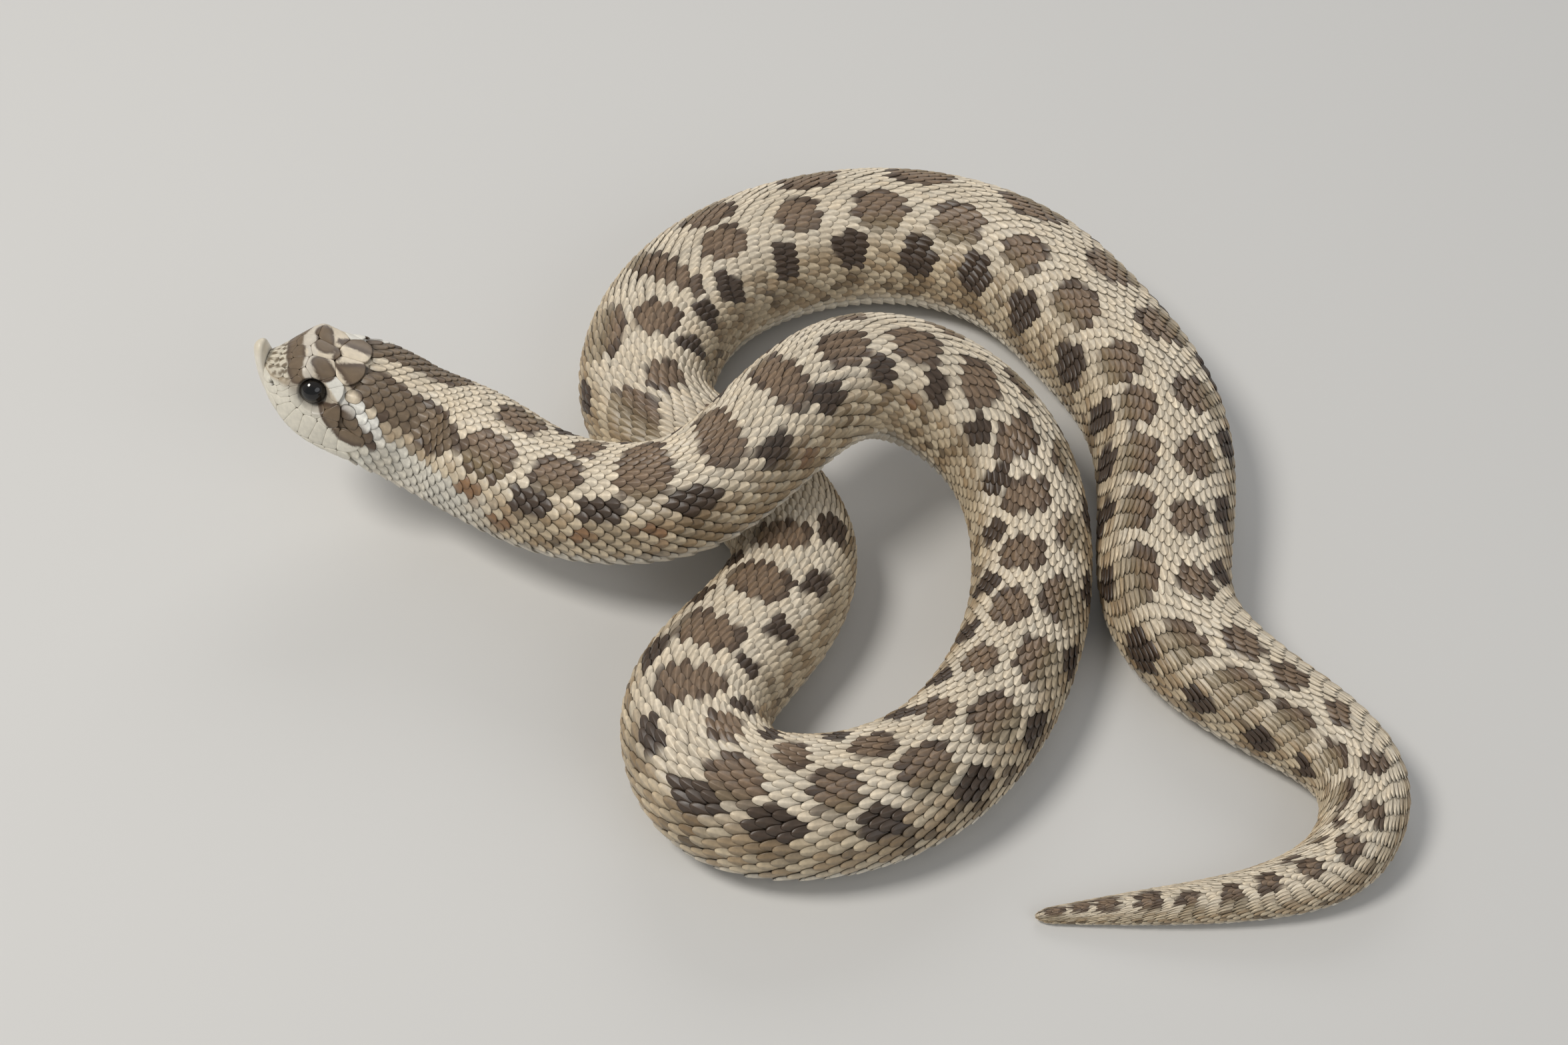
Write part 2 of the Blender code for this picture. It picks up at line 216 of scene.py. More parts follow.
def head_surface():
    """Stations along the head, points of its surface for each, and half the length round it."""
    table = np.array(HEAD_SECTIONS)
    f = np.arange(table[-1, 0], table[0, 0] + HEAD_STEP, -HEAD_STEP)
    slope = (table[1, 1:] - table[0, 1:]) / (table[1, 0] - table[0, 0])
    across, up = half_outline(*smooth_rows(table[:, 1:], f, table[:, 0], slope).T)
    off = (f[:, None] - BROW_PLACE[0]) ** 2 + (across - BROW_PLACE[1]) ** 2 + (up - BROW_PLACE[2]) ** 2
    swell = BROW_RIDGE * np.exp(-2.0 * off / BROW_REACH**2)
    across, up, length = evenly(across + np.sin(ANGLES) * swell, up + np.cos(ANGLES) * swell)
    across, up = both_sides(across, up)
    points = head_place(np.stack([np.broadcast_to(f[:, None], across.shape), -across, up], axis=-1))
    return table[0, 0] - f, points, length


def body_surface():
    """The same from the nape to the tip of the tail."""
    places, middles, headings, height, width = body_course(BODY_STEP)
    low = height * (WIDEST_LEVEL - WIDEST_LEVEL / BELLY_FLAT)
    powers = np.full((2, len(places)), [[BACK_POWER], [BELLY_POWER]])
    across, up = half_outline(width / 2.0, WIDEST_LEVEL * height, height, low, *powers)
    across, up, length = evenly(across, np.maximum(up, 0.0) - height[:, None] / 2.0)
    across, up = both_sides(across, up)
    side = unit(np.stack([-headings[:, 1], headings[:, 0], 0.0 * headings[:, 0]], axis=-1))
    upward = np.cross(headings, side)
    past = np.clip((places - places[-1] + TAIL_ROUNDING) / TAIL_ROUNDING, 0.0, 0.97)
    closing = np.sqrt(1.0 - past**2)[:, None, None]
    sections = side[:, None] * across[..., None] + upward[:, None] * up[..., None]
    return places, middles[:, None] + closing * sections, length


STATIONS, POINTS, ROUND = (np.concatenate(halves) for halves in zip(head_surface(), body_surface()))
COLUMNS = POINTS.shape[1]
ALONG = np.gradient(POINTS, STATIONS, axis=0)
STRETCH = np.linalg.norm(ALONG, axis=-1)
MIDDLES = POINTS.mean(axis=1)
NORMALS = np.cross(np.gradient(POINTS, axis=1), ALONG)
NORMALS[:, 0] = NORMALS[:, -1] = NORMALS[:, 1] + NORMALS[:, -2]
NORMALS = unit(NORMALS)
if np.mean(np.sum(NORMALS * (POINTS - MIDDLES[:, None]), axis=-1)) < 0.0:
    NORMALS = -NORMALS


def read_chart(grid, s, a):
    """Values of a chart grid at s, a, arrays of one shape."""
    row = np.clip(np.searchsorted(STATIONS, s, side="right") - 1, 0, len(STATIONS) - 2)
    down = np.clip((s - STATIONS[row]) / (STATIONS[row + 1] - STATIONS[row]), 0.0, 1.0)
    place = np.mod(a + 1.0, 2.0) / 2.0 * (COLUMNS - 1)
    column = np.clip(place.astype(int), 0, COLUMNS - 2)
    over = place - column
    if grid.ndim == 3:
        down, over = down[..., None], over[..., None]
    near = grid[row, column] * (1.0 - over) + grid[row, column + 1] * over
    far = grid[row + 1, column] * (1.0 - over) + grid[row + 1, column + 1] * over
    return near * (1.0 - down) + far * down


EVENING_LENGTH = 16.0
EVENED_FROM = -12.0
EVENED_FULLY = 8.0  # that much further on


def evened_stations():
    """Stations of rings of scales, for each column, with short squeezes evened out, and the stretch left."""
    reach = np.abs(STATIONS[:, None] - STATIONS[None]) / EVENING_LENGTH
    weights = np.where(reach < 3.0, np.exp(-0.5 * reach**2), 0.0) * np.gradient(STATIONS)
    weights /= weights.sum(axis=1, keepdims=True)
    local = np.where(STATIONS[:, None] > EVENED_FROM, STRETCH, 1.0)
    even = weights @ local
    share = 1.0 + (local / even - 1.0) * ramp(STATIONS[:, None], EVENED_FROM, EVENED_FULLY)
    steps = 0.5 * (share[1:] + share[:-1]) * np.diff(STATIONS)[:, None]
    evened = [np.interp(STATIONS, STATIONS[0] + running(column), STATIONS) for column in steps.T]
    return np.array(evened).T, even


EVENED, EVEN_STRETCH = evened_stations()


def half_round(s):
    """Half the length round the animal at s."""
    return np.interp(s, STATIONS, ROUND)


def on_surface(s, a, height):
    """Points a height in mm above the surface at s, a."""
    return read_chart(POINTS, s, a) + unit(read_chart(NORMALS, s, a)) * height[..., None]


# ------------------------ markings, the same for skin and scales
def linear(red, green, blue):
    """The linear values of a colour given as a screen shows it, from 0 to 255."""
    share = np.array([red, green, blue]) / 255.0
    return np.where(share < 0.04045, share / 12.92, ((share + 0.055) / 1.055) ** 2.4)


GROUND = linear(215, 201, 178)
FLANK = linear(193, 176, 148)
BELLY = linear(214, 205, 188)
TAN = linear(150, 126, 95)
BROWN_FLECK = linear(96, 82, 64)
BLOTCH = linear(130, 109, 88)
OLIVE = linear(130, 113, 84)
BLOTCH_RIM = linear(88, 72, 58)
SIDE_SPOT = linear(72, 58, 46)
STREAK = linear(116, 96, 70)
RUST = linear(132, 101, 72)
PALE_STRIPE = linear(228, 224, 213)
LABIAL = linear(222, 216, 200)
PALE_BAND_COLOUR = linear(206, 196, 180)
HEAD_BLOTCH = linear(115, 98, 78)
AROUND_EYE = linear(156, 148, 136)
NECK_SIDE = linear(204, 198, 184)
SNOUT = linear(212, 203, 184)
SNOUT_FRECKLE = linear(124, 111, 92)
EYE_RIM = linear(84, 75, 64)
PUPIL = linear(10, 9, 8)
IRIS = linear(28, 24, 20)
HORN = linear(230, 223, 208)
HORN_TIP_TONE = linear(211, 201, 181)

# A row of markings is set by its keys: a marking's number in the row, its place along the animal and its
# measures. Those between two keys follow evenly. Lengths are in mm, and places round the animal are shares.
# ovals of the back: number, place, edges towards and away from the back's middle, length
LEFT_OVAL_KEYS = (
    (0, 18, -0.03, -0.28, 8), (5, 76, 0.06, -0.17, 7), (9, 118, 0.09, -0.2, 7),
    (12, 151, 0, -0.19, 6), (16, 199, 0.01, -0.17, 6), (21, 253, 0, -0.18, 6),
    (24, 292, 0.06, -0.17, 7), (26, 313, 0.02, -0.2, 8), (29, 358, -0.04, -0.25, 10),
    (32, 402, -0.05, -0.25, 9), (37, 454, -0.1, -0.33, 7), (41, 488, -0.13, -0.32, 6),
    (42, 493, -0.1, -0.26, 2), (44, 503, -0.1, -0.26, 2),
)
RIGHT_OVAL_KEYS = (
    (0, 18, 0.03, 0.26, 8), (1, 32, 0, 0.22, 6), (5, 80, 0.12, 0.3, 4), (8, 112, 0.14, 0.35, 6),
    (10, 136, 0.06, 0.35, 8), (15, 193, -0.01, 0.25, 6), (20, 251, 0.03, 0.25, 6),
    (21, 262, 0.05, 0.28, 7), (23, 290, 0.1, 0.35, 10), (25, 316, 0.03, 0.26, 8),
    (29, 383, 0.05, 0.3, 10), (31, 411, 0.03, 0.3, 7), (35, 459, -0.05, 0.13, 6), (38, 483, -0.07, 0.14, 3),
)
# near-black spots low on each side: number, place, place round the body, half length, half height
LEFT_SPOT_KEYS = (
    (0, 27, -0.3, 3, 0.09), (3, 58, -0.26, 2.4, 0.09), (8, 113, -0.21, 2.4, 0.09),
    (11, 145, -0.31, 2.4, 0.1), (13, 167, -0.24, 2.2, 0.07), (17, 215, -0.22, 2, 0.08),
    (20, 242, -0.22, 2.2, 0.1), (21, 288, -0.26, 2.5, 0.1), (23, 307, -0.27, 2.7, 0.1),
    (26, 351, -0.35, 3.6, 0.12), (30, 410, -0.38, 3.5, 0.11), (33, 442, -0.43, 2.3, 0.1),
    (37, 477, -0.44, 2, 0.09),
)
RIGHT_SPOT_KEYS = (
    (0, 25, 0.29, 2.6, 0.09), (7, 107, 0.42, 2.5, 0.09), (11, 155, 0.38, 2.5, 0.09),
    (14, 188, 0.28, 2.5, 0.1), (16, 203, 0.25, 2.3, 0.08), (19, 233, 0.3, 2.5, 0.08),
    (20, 283, 0.4, 2.2, 0.07), (21, 324, 0.35, 3, 0.09), (25, 391, 0.38, 3, 0.09), (29, 444, 0.26, 3, 0.07),
)
# bands over the tail: number, place, left edge, right edge, length
TAIL_BAND_KEYS = (
    (0, 490, -0.05, 0.2, 3), (3, 507, -0.1, 0.2, 3), (4, 512, -0.07, 0.37, 3), (5, 517.5, -0.05, 0.4, 3),
    (7, 528, -0.4, 0.23, 3), (8, 531.5, -0.4, 0.2, 3), (9, 535, -0.5, 0.5, 3),
)
# pairs of ovals run together over the back: start, end, left edge, right edge, how far the right side lags
SADDLES = (
    (39, 47, -0.25, 0.2, 0), (51, 57, -0.22, 0.24, 2.3), (63, 69, -0.22, 0.25, 2),
    (205, 211, -0.17, 0.2, 0), (214, 220, -0.14, 0.24, 0), (225, 232, -0.14, 0.22, 0),
    (236, 242, -0.1, 0.24, 0), (300, 305, -0.2, 0.3, 2.5),
)
SADDLE_REACH = 6.0
OWN_SHARE = 0.1  # how much a marking's last two measures differ from the row's


def filled_row(keys, seed):
    """Every marking of a row, with its place and its measures."""
    numbers, *measures = np.array(keys, dtype=float).T
    every = np.arange(numbers[-1] + 1.0)
    row = np.stack([np.interp(every, numbers, measure) for measure in measures], axis=-1)
    row[:, 2:] *= 1.0 + OWN_SHARE * np.random.default_rng(seed).uniform(-1.0, 1.0, row[:, 2:].shape)
    return row


def ovals_in_row(keys, seed):
    """Ovals as start, end and two edges, without those that a saddle takes the place of."""
    row = filled_row(keys, seed)
    saddles = np.array(SADDLES)[:, :2].mean(axis=1)
    row = row[np.abs(row[:, :1] - saddles).min(axis=1) > SADDLE_REACH]
    return [(place - length / 2.0, place + length / 2.0, low, high) for place, low, high, length in row]


OVALS = ovals_in_row(LEFT_OVAL_KEYS, 1) + ovals_in_row(RIGHT_OVAL_KEYS, 2) + ovals_in_row(TAIL_BAND_KEYS, 3)
OVALS += SADDLES
SIDE_ROWS = np.concatenate([filled_row(LEFT_SPOT_KEYS, 4), filled_row(RIGHT_SPOT_KEYS, 5)])
SPOTS = [(p - half, p + half, at - 0.9 * high, at + 0.9 * high) for p, at, half, high in SIDE_ROWS]
STREAK_HEIGHT = 0.24
STREAKS = [(p - half, p + half, at, at + math.copysign(STREAK_HEIGHT, at)) for p, at, half, _ in SIDE_ROWS]
RUST_FLECKS = ((17.5, 0.38), (23, 0.46), (34, 0.45), (43, 0.43), (61, 0.42), (87, 0.38))
RUST_REACH = 1.9
OUTSIDE = -9.0  # a depth well outside any marking
OVAL_REACH = 12.0
OVAL_POWER = 2.5


def depth_in_oval(s, a, start, end, one_side, other, lag=0.0):
    """How many mm a place lies inside an oval marking, negative outside it."""
    half_length = (end - start) / 2.0
    half_height = abs(other - one_side) / 2.0
    over = (a - (one_side + other) / 2.0) / half_height
    along = (s - (start + end) / 2.0 - lag * over * 0.5) / half_length
    from_middle = (np.abs(along) ** OVAL_POWER + np.abs(over) ** OVAL_POWER) ** (1.0 / OVAL_POWER)
    return (1.0 - from_middle) * np.minimum(half_length, half_height * half_round(s))


def deepest(s, a, ovals):
    """How many mm a place lies inside the nearest of many ovals."""
    depth = np.full(s.shape, OUTSIDE)
    for oval in ovals:
        near = np.abs(s - (oval[0] + oval[1]) / 2.0) < OVAL_REACH
        depth[near] = np.maximum(depth[near], depth_in_oval(s[near], a[near], *oval))
    return depth


def depth_between(s, a, stations, top, foot):
    """How many mm a place lies between two edges that run along the animal, each given at stations."""
    inside = np.minimum(a - np.interp(s, stations, foot), np.interp(s, stations, top) - a) * half_round(s)
    return np.minimum(inside, np.minimum(s - stations[0], stations[-1] - s) + 0.4)


def depth_on_line(s, a, half_width, line):
    """How many mm a place lies inside a stripe of that half width along a line of (s, a) points."""
    depth = np.full(s.shape, OUTSIDE)
    q = a * half_round(s)
    for (s0, a0), (s1, a1) in zip(line, line[1:]):
        q0, q1 = a0 * half_round(s0), a1 * half_round(s1)
        share = ((s - s0) * (s1 - s0) + (q - q0) * (q1 - q0)) / ((s1 - s0) ** 2 + (q1 - q0) ** 2)
        share = np.clip(share, 0.0, 1.0)
        away = np.hypot(s - s0 - share * (s1 - s0), q - q0 - share * (q1 - q0))
        depth = np.maximum(depth, half_width - away)
    return depth


def blend(below, above, share):
    return below + (above - below) * np.clip(share, 0.0, 1.0)[..., None]


def edge(depth, softness=0.12):
    """0 outside a marking, 1 inside it, and a soft step between."""
    return ramp(0.5 + depth / (2.0 * softness))


def rimmed(colour, depth, rim, softness):
    """A blotch of the head with a darker rim of that width, laid over colour."""
    colour = blend(colour, BLOTCH_RIM, edge(depth))
    return blend(colour, HEAD_BLOTCH, edge(depth - rim, softness))


# outlines of the long blotches, as stations, upper edge and lower edge
NECK_BLOTCH_LEFT = (
    (-12.5, -8.0, -2.0, 7.5, 12.0, 13.5),
    (-0.07, 0.0, -0.07, -0.09, -0.14, -0.2),
    (-0.09, -0.24, -0.3, -0.32, -0.27, -0.22),
)
NECK_BLOTCH_RIGHT = (
    (-13.5, -9.0, -5.0, 1.0, 5.5, 8.0),
    (0.13, 0.25, 0.29, 0.32, 0.3, 0.22),
    (0.09, 0.06, 0.07, 0.06, 0.11, 0.18),
)
JAW_BLOTCH = (
    (-13.0, -11.0, -9.0, -6.5, -4.0),
    (0.38, 0.44, 0.49, 0.49, 0.45),
    (0.36, 0.3, 0.3, 0.33, 0.41),
)
# stripes, as half width and the points of their line
BROW_BAND = (1.15, ((-18.8, 0.24), (-19.1, 0.08), (-18.6, -0.09), (-17.6, -0.21), (-16.7, -0.27)))
PALE_BAND = (
    0.8, ((-16.4, 0.22), (-17.6, 0.1), (-17.3, 0.02), (-16.3, -0.05), (-16.4, -0.15), (-15.8, -0.22)),
)
OVER_EYE = (1.25, ((-14.7, -0.12), (-13.4, -0.17)))
FRONTAL = (1.4, ((-15.9, 0.13), (-15.0, 0.03)))
CHEEK_STRIPE = (0.9, ((-12.2, 0.19), (-9.8, 0.262), (-7.3, 0.3), (-5.1, 0.335), (-3.0, 0.37)))
# ovals, as start, end and two edges
EYE_PATCH = (-18.5, -11.2, 0.22, 0.42)
CROWN_SPOT = (-13.8, -12.1, -0.065, 0.05)


def head_markings(s, a, colour, fleck):
    """The markings of the head and nape laid over colour."""
    side = np.abs(a)
    q = a * half_round(s)
    colour = blend(colour, LABIAL, ramp(s, -2.0, -3.0) * ramp(side, 0.36, 0.06))
    colour = blend(colour, AROUND_EYE, edge(depth_in_oval(s, side, *EYE_PATCH), 0.8) * 0.8)
    colour = rimmed(colour, depth_between(s, side, *JAW_BLOTCH), 0.6, 0.3)
    nape = np.maximum(depth_between(s, a, *NECK_BLOTCH_LEFT), depth_between(s, a, *NECK_BLOTCH_RIGHT))
    colour = rimmed(colour, nape, 0.75, 0.4)
    colour = blend(colour, PALE_STRIPE, edge(depth_on_line(s, side, *CHEEK_STRIPE), 0.15))
    freckle = np.sin(4.7 * s + 2.1 * q) * np.sin(3.9 * q - 1.7 * s) + 0.8 * (fleck - 0.5)
    freckled = blend(SNOUT, SNOUT_FRECKLE, edge(freckle, 0.2))
    colour = blend(colour, freckled, ramp(s, -18.0, -0.6) * (1.0 - ramp(side, 0.29, 0.08)))
    colour = rimmed(colour, depth_on_line(s, a, *BROW_BAND), 0.3, 0.3)
    colour = blend(colour, PALE_BAND_COLOUR, edge(depth_on_line(s, a, *PALE_BAND)))
    crown = np.maximum(depth_on_line(s, a, *OVER_EYE), depth_on_line(s, a, *FRONTAL))
    crown = np.maximum(crown, depth_in_oval(s, a, *CROWN_SPOT))
    return rimmed(colour, crown, 0.35, 0.25)


def markings(s, a, fleck):
    """Colours of the animal at s, a. fleck is a number from 0 to 1 for each place, even over a scale."""
    side = np.abs(a)
    colour = blend(GROUND, FLANK, ramp(side, 0.2, 0.2))
    colour = blend(colour, TAN, 0.75 * ramp(fleck, 0.52, 0.1) * ramp(side, 0.22, 0.15))
    colour = blend(colour, BROWN_FLECK, 0.8 * ramp(fleck, 0.9, 0.04) * ramp(side, 0.3, 0.1))
    colour = blend(colour, NECK_SIDE, ramp(s, 24.0, -8.0) * ramp(side, 0.34, 0.06))
    colour = blend(colour, BELLY, ramp(side, 0.56, 0.08))
    streak = edge(deepest(s, a, STREAKS) - 0.5, 1.0) * (0.35 + 0.5 * fleck) * ramp(s, 24.0, 6.0)
    colour = blend(colour, STREAK, streak)
    for place, round_it in RUST_FLECKS:
        rust = edge(RUST_REACH - np.hypot(s - place, (side - round_it) * half_round(s)), 0.6)
        colour = blend(colour, RUST, rust * ramp(fleck, 0.35, 0.1))
    ovals = deepest(s, a, OVALS)
    fading = ramp(side, 0.17, 0.12) * ramp(s, 20.0, 10.0)
    colour = blend(colour, BLOTCH_RIM, edge(ovals) * (1.0 - fading))
    middle = blend(BLOTCH, OLIVE, ramp(side, 0.13, 0.12))
    strength = 0.92 - 0.3 * fading - 0.3 * fading * fleck
    colour = blend(colour, middle, edge(ovals - 0.65 * (1.0 - fading), 0.4) * strength)
    colour = blend(colour, SIDE_SPOT, edge(deepest(s, a, SPOTS)))
    return head_markings(s, a, colour, fleck)


# ------------------------ meshes
MM = 0.001  # metres
MAP_STRIPS = 3
MAP_SIDE = 214.0  # mm of the animal that the side of the unwrapped square holds
MAP_MARGIN = 0.02
STRIP_LENGTH = (STATIONS[-1] - STATIONS[0] + 1.0) / MAP_STRIPS
SCALE_PATCH = 0.003  # side of one scale's patch in the square


def unwrapped(s, a, strip=None):
    """Places on the unwrapped skin: the animal cut along its belly and laid out in strips side by side."""
    if strip is None:
        strip = np.floor((s - STATIONS[0]) / STRIP_LENGTH)
    across = (strip + 0.5) / MAP_STRIPS + a * half_round(s) / MAP_SIDE
    along = MAP_MARGIN + (s - STATIONS[0] - strip * STRIP_LENGTH) / MAP_SIDE
    return np.stack([across, along], axis=-1)


def add_object(name, data):
    obj = bpy.data.objects.new(name, data)
    bpy.context.scene.collection.objects.link(obj)
    return obj


def add_piece(name, points, faces, material, tint, places=None):
    """A smooth mesh from points in mm and lists of faces, each list an array with a row for each face."""
    mesh = bpy.data.meshes.new(name)
    corners = np.concatenate([f.ravel() for f in faces])
    sizes = np.concatenate([np.full(len(f), f.shape[1]) for f in faces])
    starts = np.concatenate([[0], np.cumsum(sizes)[:-1]])
    mesh.vertices.add(len(points))
    mesh.vertices.foreach_set("co", (points * MM).astype(np.float32).ravel())
    mesh.loops.add(len(corners))
    mesh.loops.foreach_set("vertex_index", corners.astype(np.int32))
    mesh.polygons.add(len(sizes))
    mesh.polygons.foreach_set("loop_start", starts.astype(np.int32))
    mesh.update(calc_edges=True)
    mesh.shade_smooth()
    layer = mesh.color_attributes.new("tint", "FLOAT_COLOR", "POINT")
    layer.data.foreach_set("color", np.c_[tint, np.ones(len(tint))].astype(np.float32).ravel())
    if places is not None:
        layer = mesh.uv_layers.new(name="OFBake")
        if len(places) == len(points):
            places = places[corners]
        layer.data.foreach_set("uv", places.astype(np.float32).ravel())
    mesh.validate()
    mesh.materials.append(material)
    obj = add_object(name, mesh)
    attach(obj, "root")
    return obj


def add_coat(name, points, faces, material, tint, places):
    """A piece of many like closed solids, one for each entry of points, all with the same faces."""
    size = points[0].size // 3
    firsts = (np.arange(len(points)) * size)[:, None, None]
    faces = [(f + firsts).reshape(-1, f.shape[1]) for f in faces]
    return add_piece(name, points.reshape(-1, 3), faces, material, tint.reshape(-1, 3), places.reshape(-1, 2))


def scale_patch(across, along):
    """A scale's patch of the unwrapped skin, about its root."""
    return np.stack(np.broadcast_arrays(across * 0.5, along - 0.5), axis=-1) * SCALE_PATCH


def grid_faces(rows, columns):
    """Quads of a grid of rows x columns points."""
    corner = np.arange(rows - 1)[:, None] * columns + np.arange(columns - 1)
    quads = np.stack([corner, corner + 1, corner + columns + 1, corner + columns], axis=-1)
    return quads.reshape(-1, 4)


def tube_faces(rings, sides):
    """Quads of a tube of rings of points, each ring closed on itself."""
    start = np.arange(rings - 1)[:, None] * sides
    near = start + np.arange(sides)
    beside = start + (np.arange(sides) + 1) % sides
    return np.stack([near, beside, sides + beside, sides + near], axis=-1).reshape(-1, 4)


def fan_faces(middle, start, sides):
    """Triangles from a middle point round a ring of points that begins at start."""
    column = np.arange(sides)
    return np.stack([np.full(sides, middle), start + column, start + (column + 1) % sides], axis=-1)


def closed_tube_faces(rings, sides):
    """Faces of a tube closed at its ends to two points that follow its rings."""
    size = rings * sides
    first = fan_faces(size, 0, sides)[:, [0, 2, 1]]
    return [tube_faces(rings, sides), first, fan_faces(size + 1, size - sides, sides)]


def turned_over(faces):
    return [f[:, ::-1] for f in faces]


def turns(count):
    """Angles at even steps once round."""
    return 2.0 * math.pi * np.arange(count) / count


# ------------------------ materials
GRAIN_DEPTH = 0.00002  # metres, as all lengths of a shader


def principled(name, roughness, specular=0.5):
    """A material and its shader."""
    material = bpy.data.materials.new(name)
    material.use_nodes = True
    shader = material.node_tree.nodes["Principled BSDF"]
    shader.inputs["Roughness"].default_value = roughness
    shader.inputs["Specular IOR Level"].default_value = specular
    return material, shader


def tint_of_mesh(material):
    tint = material.node_tree.nodes.new("ShaderNodeVertexColor")
    tint.layer_name = "tint"
    return tint.outputs["Color"]


def scaly(name, roughness, mottle_size=0.0006, mottle=0.12):
    """A material coloured by the tint of its mesh, with a fine mottle and grain."""
    material, shader = principled(name, roughness)
    nodes, links = material.node_tree.nodes, material.node_tree.links
    place = nodes.new("ShaderNodeTexCoord")
    noise = nodes.new("ShaderNodeTexNoise")
    noise.inputs["Scale"].default_value = 1.0 / mottle_size
    noise.inputs["Detail"].default_value = 3.0
    links.new(place.outputs["Object"], noise.inputs["Vector"])
    share = nodes.new("ShaderNodeMapRange")
    share.inputs["From Min"].default_value = 0.3
    share.inputs["From Max"].default_value = 0.7
    share.inputs["To Min"].default_value = 1.0 - mottle
    share.inputs["To Max"].default_value = 1.0 + mottle
    links.new(noise.outputs["Fac"], share.inputs["Value"])
    scaled = nodes.new("ShaderNodeVectorMath")
    scaled.operation = "SCALE"
    links.new(tint_of_mesh(material), scaled.inputs[0])
    links.new(share.outputs["Result"], scaled.inputs["Scale"])
    links.new(scaled.outputs["Vector"], shader.inputs["Base Color"])
    grain = nodes.new("ShaderNodeBump")
    grain.inputs["Strength"].default_value = 0.3
    grain.inputs["Distance"].default_value = GRAIN_DEPTH
    links.new(noise.outputs["Fac"], grain.inputs["Height"])
    links.new(grain.outputs["Normal"], shader.inputs["Normal"])
    return material


# ------------------------ skin
SKIN_DEPTH = 0.48
SKIN_STEP = 2  # of the chart's rows and columns
THIN_ROUND = 14.0  # half round the animal below which the skin lies less deep
SIDES = (1.0, -1.0)  # left and right
EYES = head_place([LEFT_EYE, RIGHT_EYE])
NOSTRILS = head_place([(NOSTRIL_PLACE[0], side * NOSTRIL_PLACE[1], NOSTRIL_PLACE[2]) for side in SIDES])
NOSTRIL_AIM = head_place((0.0, 0.0, -4.0))  # the pits sink towards it
EYE_TILT = math.radians(22.0)
LEFTWARD = math.cos(EYE_TILT) * HEAD_AXES[1]
LOOKING = np.stack([side * LEFTWARD + math.sin(EYE_TILT) * HEAD_AXES[2] for side in SIDES])
EYE_OPENING = 1.9
RIM_RISE = 0.36  # of the rim of the eye's opening over the eye's middle
DISH_SLOPE = 1.5
DISH_SOFTNESS = 0.3
DISH_REACH = 6.0


def distance(points, place):
    return np.linalg.norm(points - place, axis=-1)


def round_eye(points, eye, out):
    """How far points lie out from an eye's middle, and how far and which way beside its axis."""
    from_eye = points - eye
    rise = from_eye @ out
    beside = from_eye - rise[..., None] * out
    return rise, np.linalg.norm(beside, axis=-1), beside


def dishing(points):
    """Moves that sink the surface of the cheeks to the rims of the eyes."""
    moves = np.zeros(points.shape)
    for eye, out in zip(EYES, LOOKING):
        rise, away, _ = round_eye(points, eye, out)
        excess = rise - RIM_RISE - DISH_SLOPE * (away - EYE_OPENING)
        soft = np.clip(excess, 0.0, DISH_SOFTNESS) ** 2 / (2.0 * DISH_SOFTNESS)
        soft = soft + np.maximum(excess - DISH_SOFTNESS, 0.0)
        near = distance(points, eye) < DISH_REACH
        moves -= out * (soft * near)[..., None]
    return moves


def nostril_pits(points, depth, reach):
    """Moves that sink a round pit at each nostril."""
    moves = np.zeros(points.shape)
    for nostril in NOSTRILS:
        fall = ramp(distance(points, nostril), reach, -0.45 * reach)
        moves += unit(NOSTRIL_AIM - nostril) * (depth * fall)[..., None]
    return moves


def make_skin():
    """One closed skin from snout to tail, under the scales, darkened where it shows between them: partly its
    own darker colour, partly painted shade.
    """
    rows = np.arange(0, len(STATIONS), SKIN_STEP)
    columns = np.arange(0, COLUMNS - 1, SKIN_STEP)
    s, a = np.meshgrid(STATIONS[rows], columns / (COLUMNS - 1) * 2.0 - 1.0, indexing="ij")
    thin = np.minimum(1.0, half_round(s) / THIN_ROUND)
    points = on_surface(s, a, -SKIN_DEPTH * thin) + dishing(read_chart(POINTS, s, a))
    points = points + nostril_pits(points, 0.9, 0.9)
    # painted shade: the skin is darkened where it shows in the gaps between scales, partly its own darker
    # colour; less dark on the head and at the tail's tip
    dark_skin_and_shade = 0.28 + 0.5 * np.maximum(ramp(s, -6.0, -4.0), ramp(s - STATIONS[-1], -2.5))
    # painted shade: the skin darkens in each eye's socket, close round the eye
    for eye in EYES:
        dark_skin_and_shade = dark_skin_and_shade * (0.12 + 0.88 * ramp(distance(points, eye), 2.2, 0.4))
    tint = markings(s, a, np.full(s.shape, 0.5)) * dark_skin_and_shade[..., None]
    tint = np.concatenate([tint.reshape(-1, 3), tint[[0, -1]].mean(axis=1)])
    faces = turned_over(closed_tube_faces(*s.shape))

    corner_s = np.concatenate([s.ravel(), STATIONS[[0, -1]]])
    corner_a = np.concatenate([a.ravel(), [0.0, 0.0]])
    places = []
    for group in faces:
        face_s, face_a = corner_s[group], corner_a[group]
        face_a = np.where((face_a < -0.9) & (face_a.max(axis=1, keepdims=True) > 0.5), face_a + 2.0, face_a)
        strip = np.floor((face_s.mean(axis=1, keepdims=True) - STATIONS[0]) / STRIP_LENGTH)
        places.append(unwrapped(face_s, face_a, np.broadcast_to(strip, face_s.shape)).reshape(-1, 2))
    points = np.concatenate([points.reshape(-1, 3), points[[0, -1]].mean(axis=1)])
    return add_piece("skin", points, faces, scaly("skin_between_scales", 0.6), tint, np.concatenate(places))


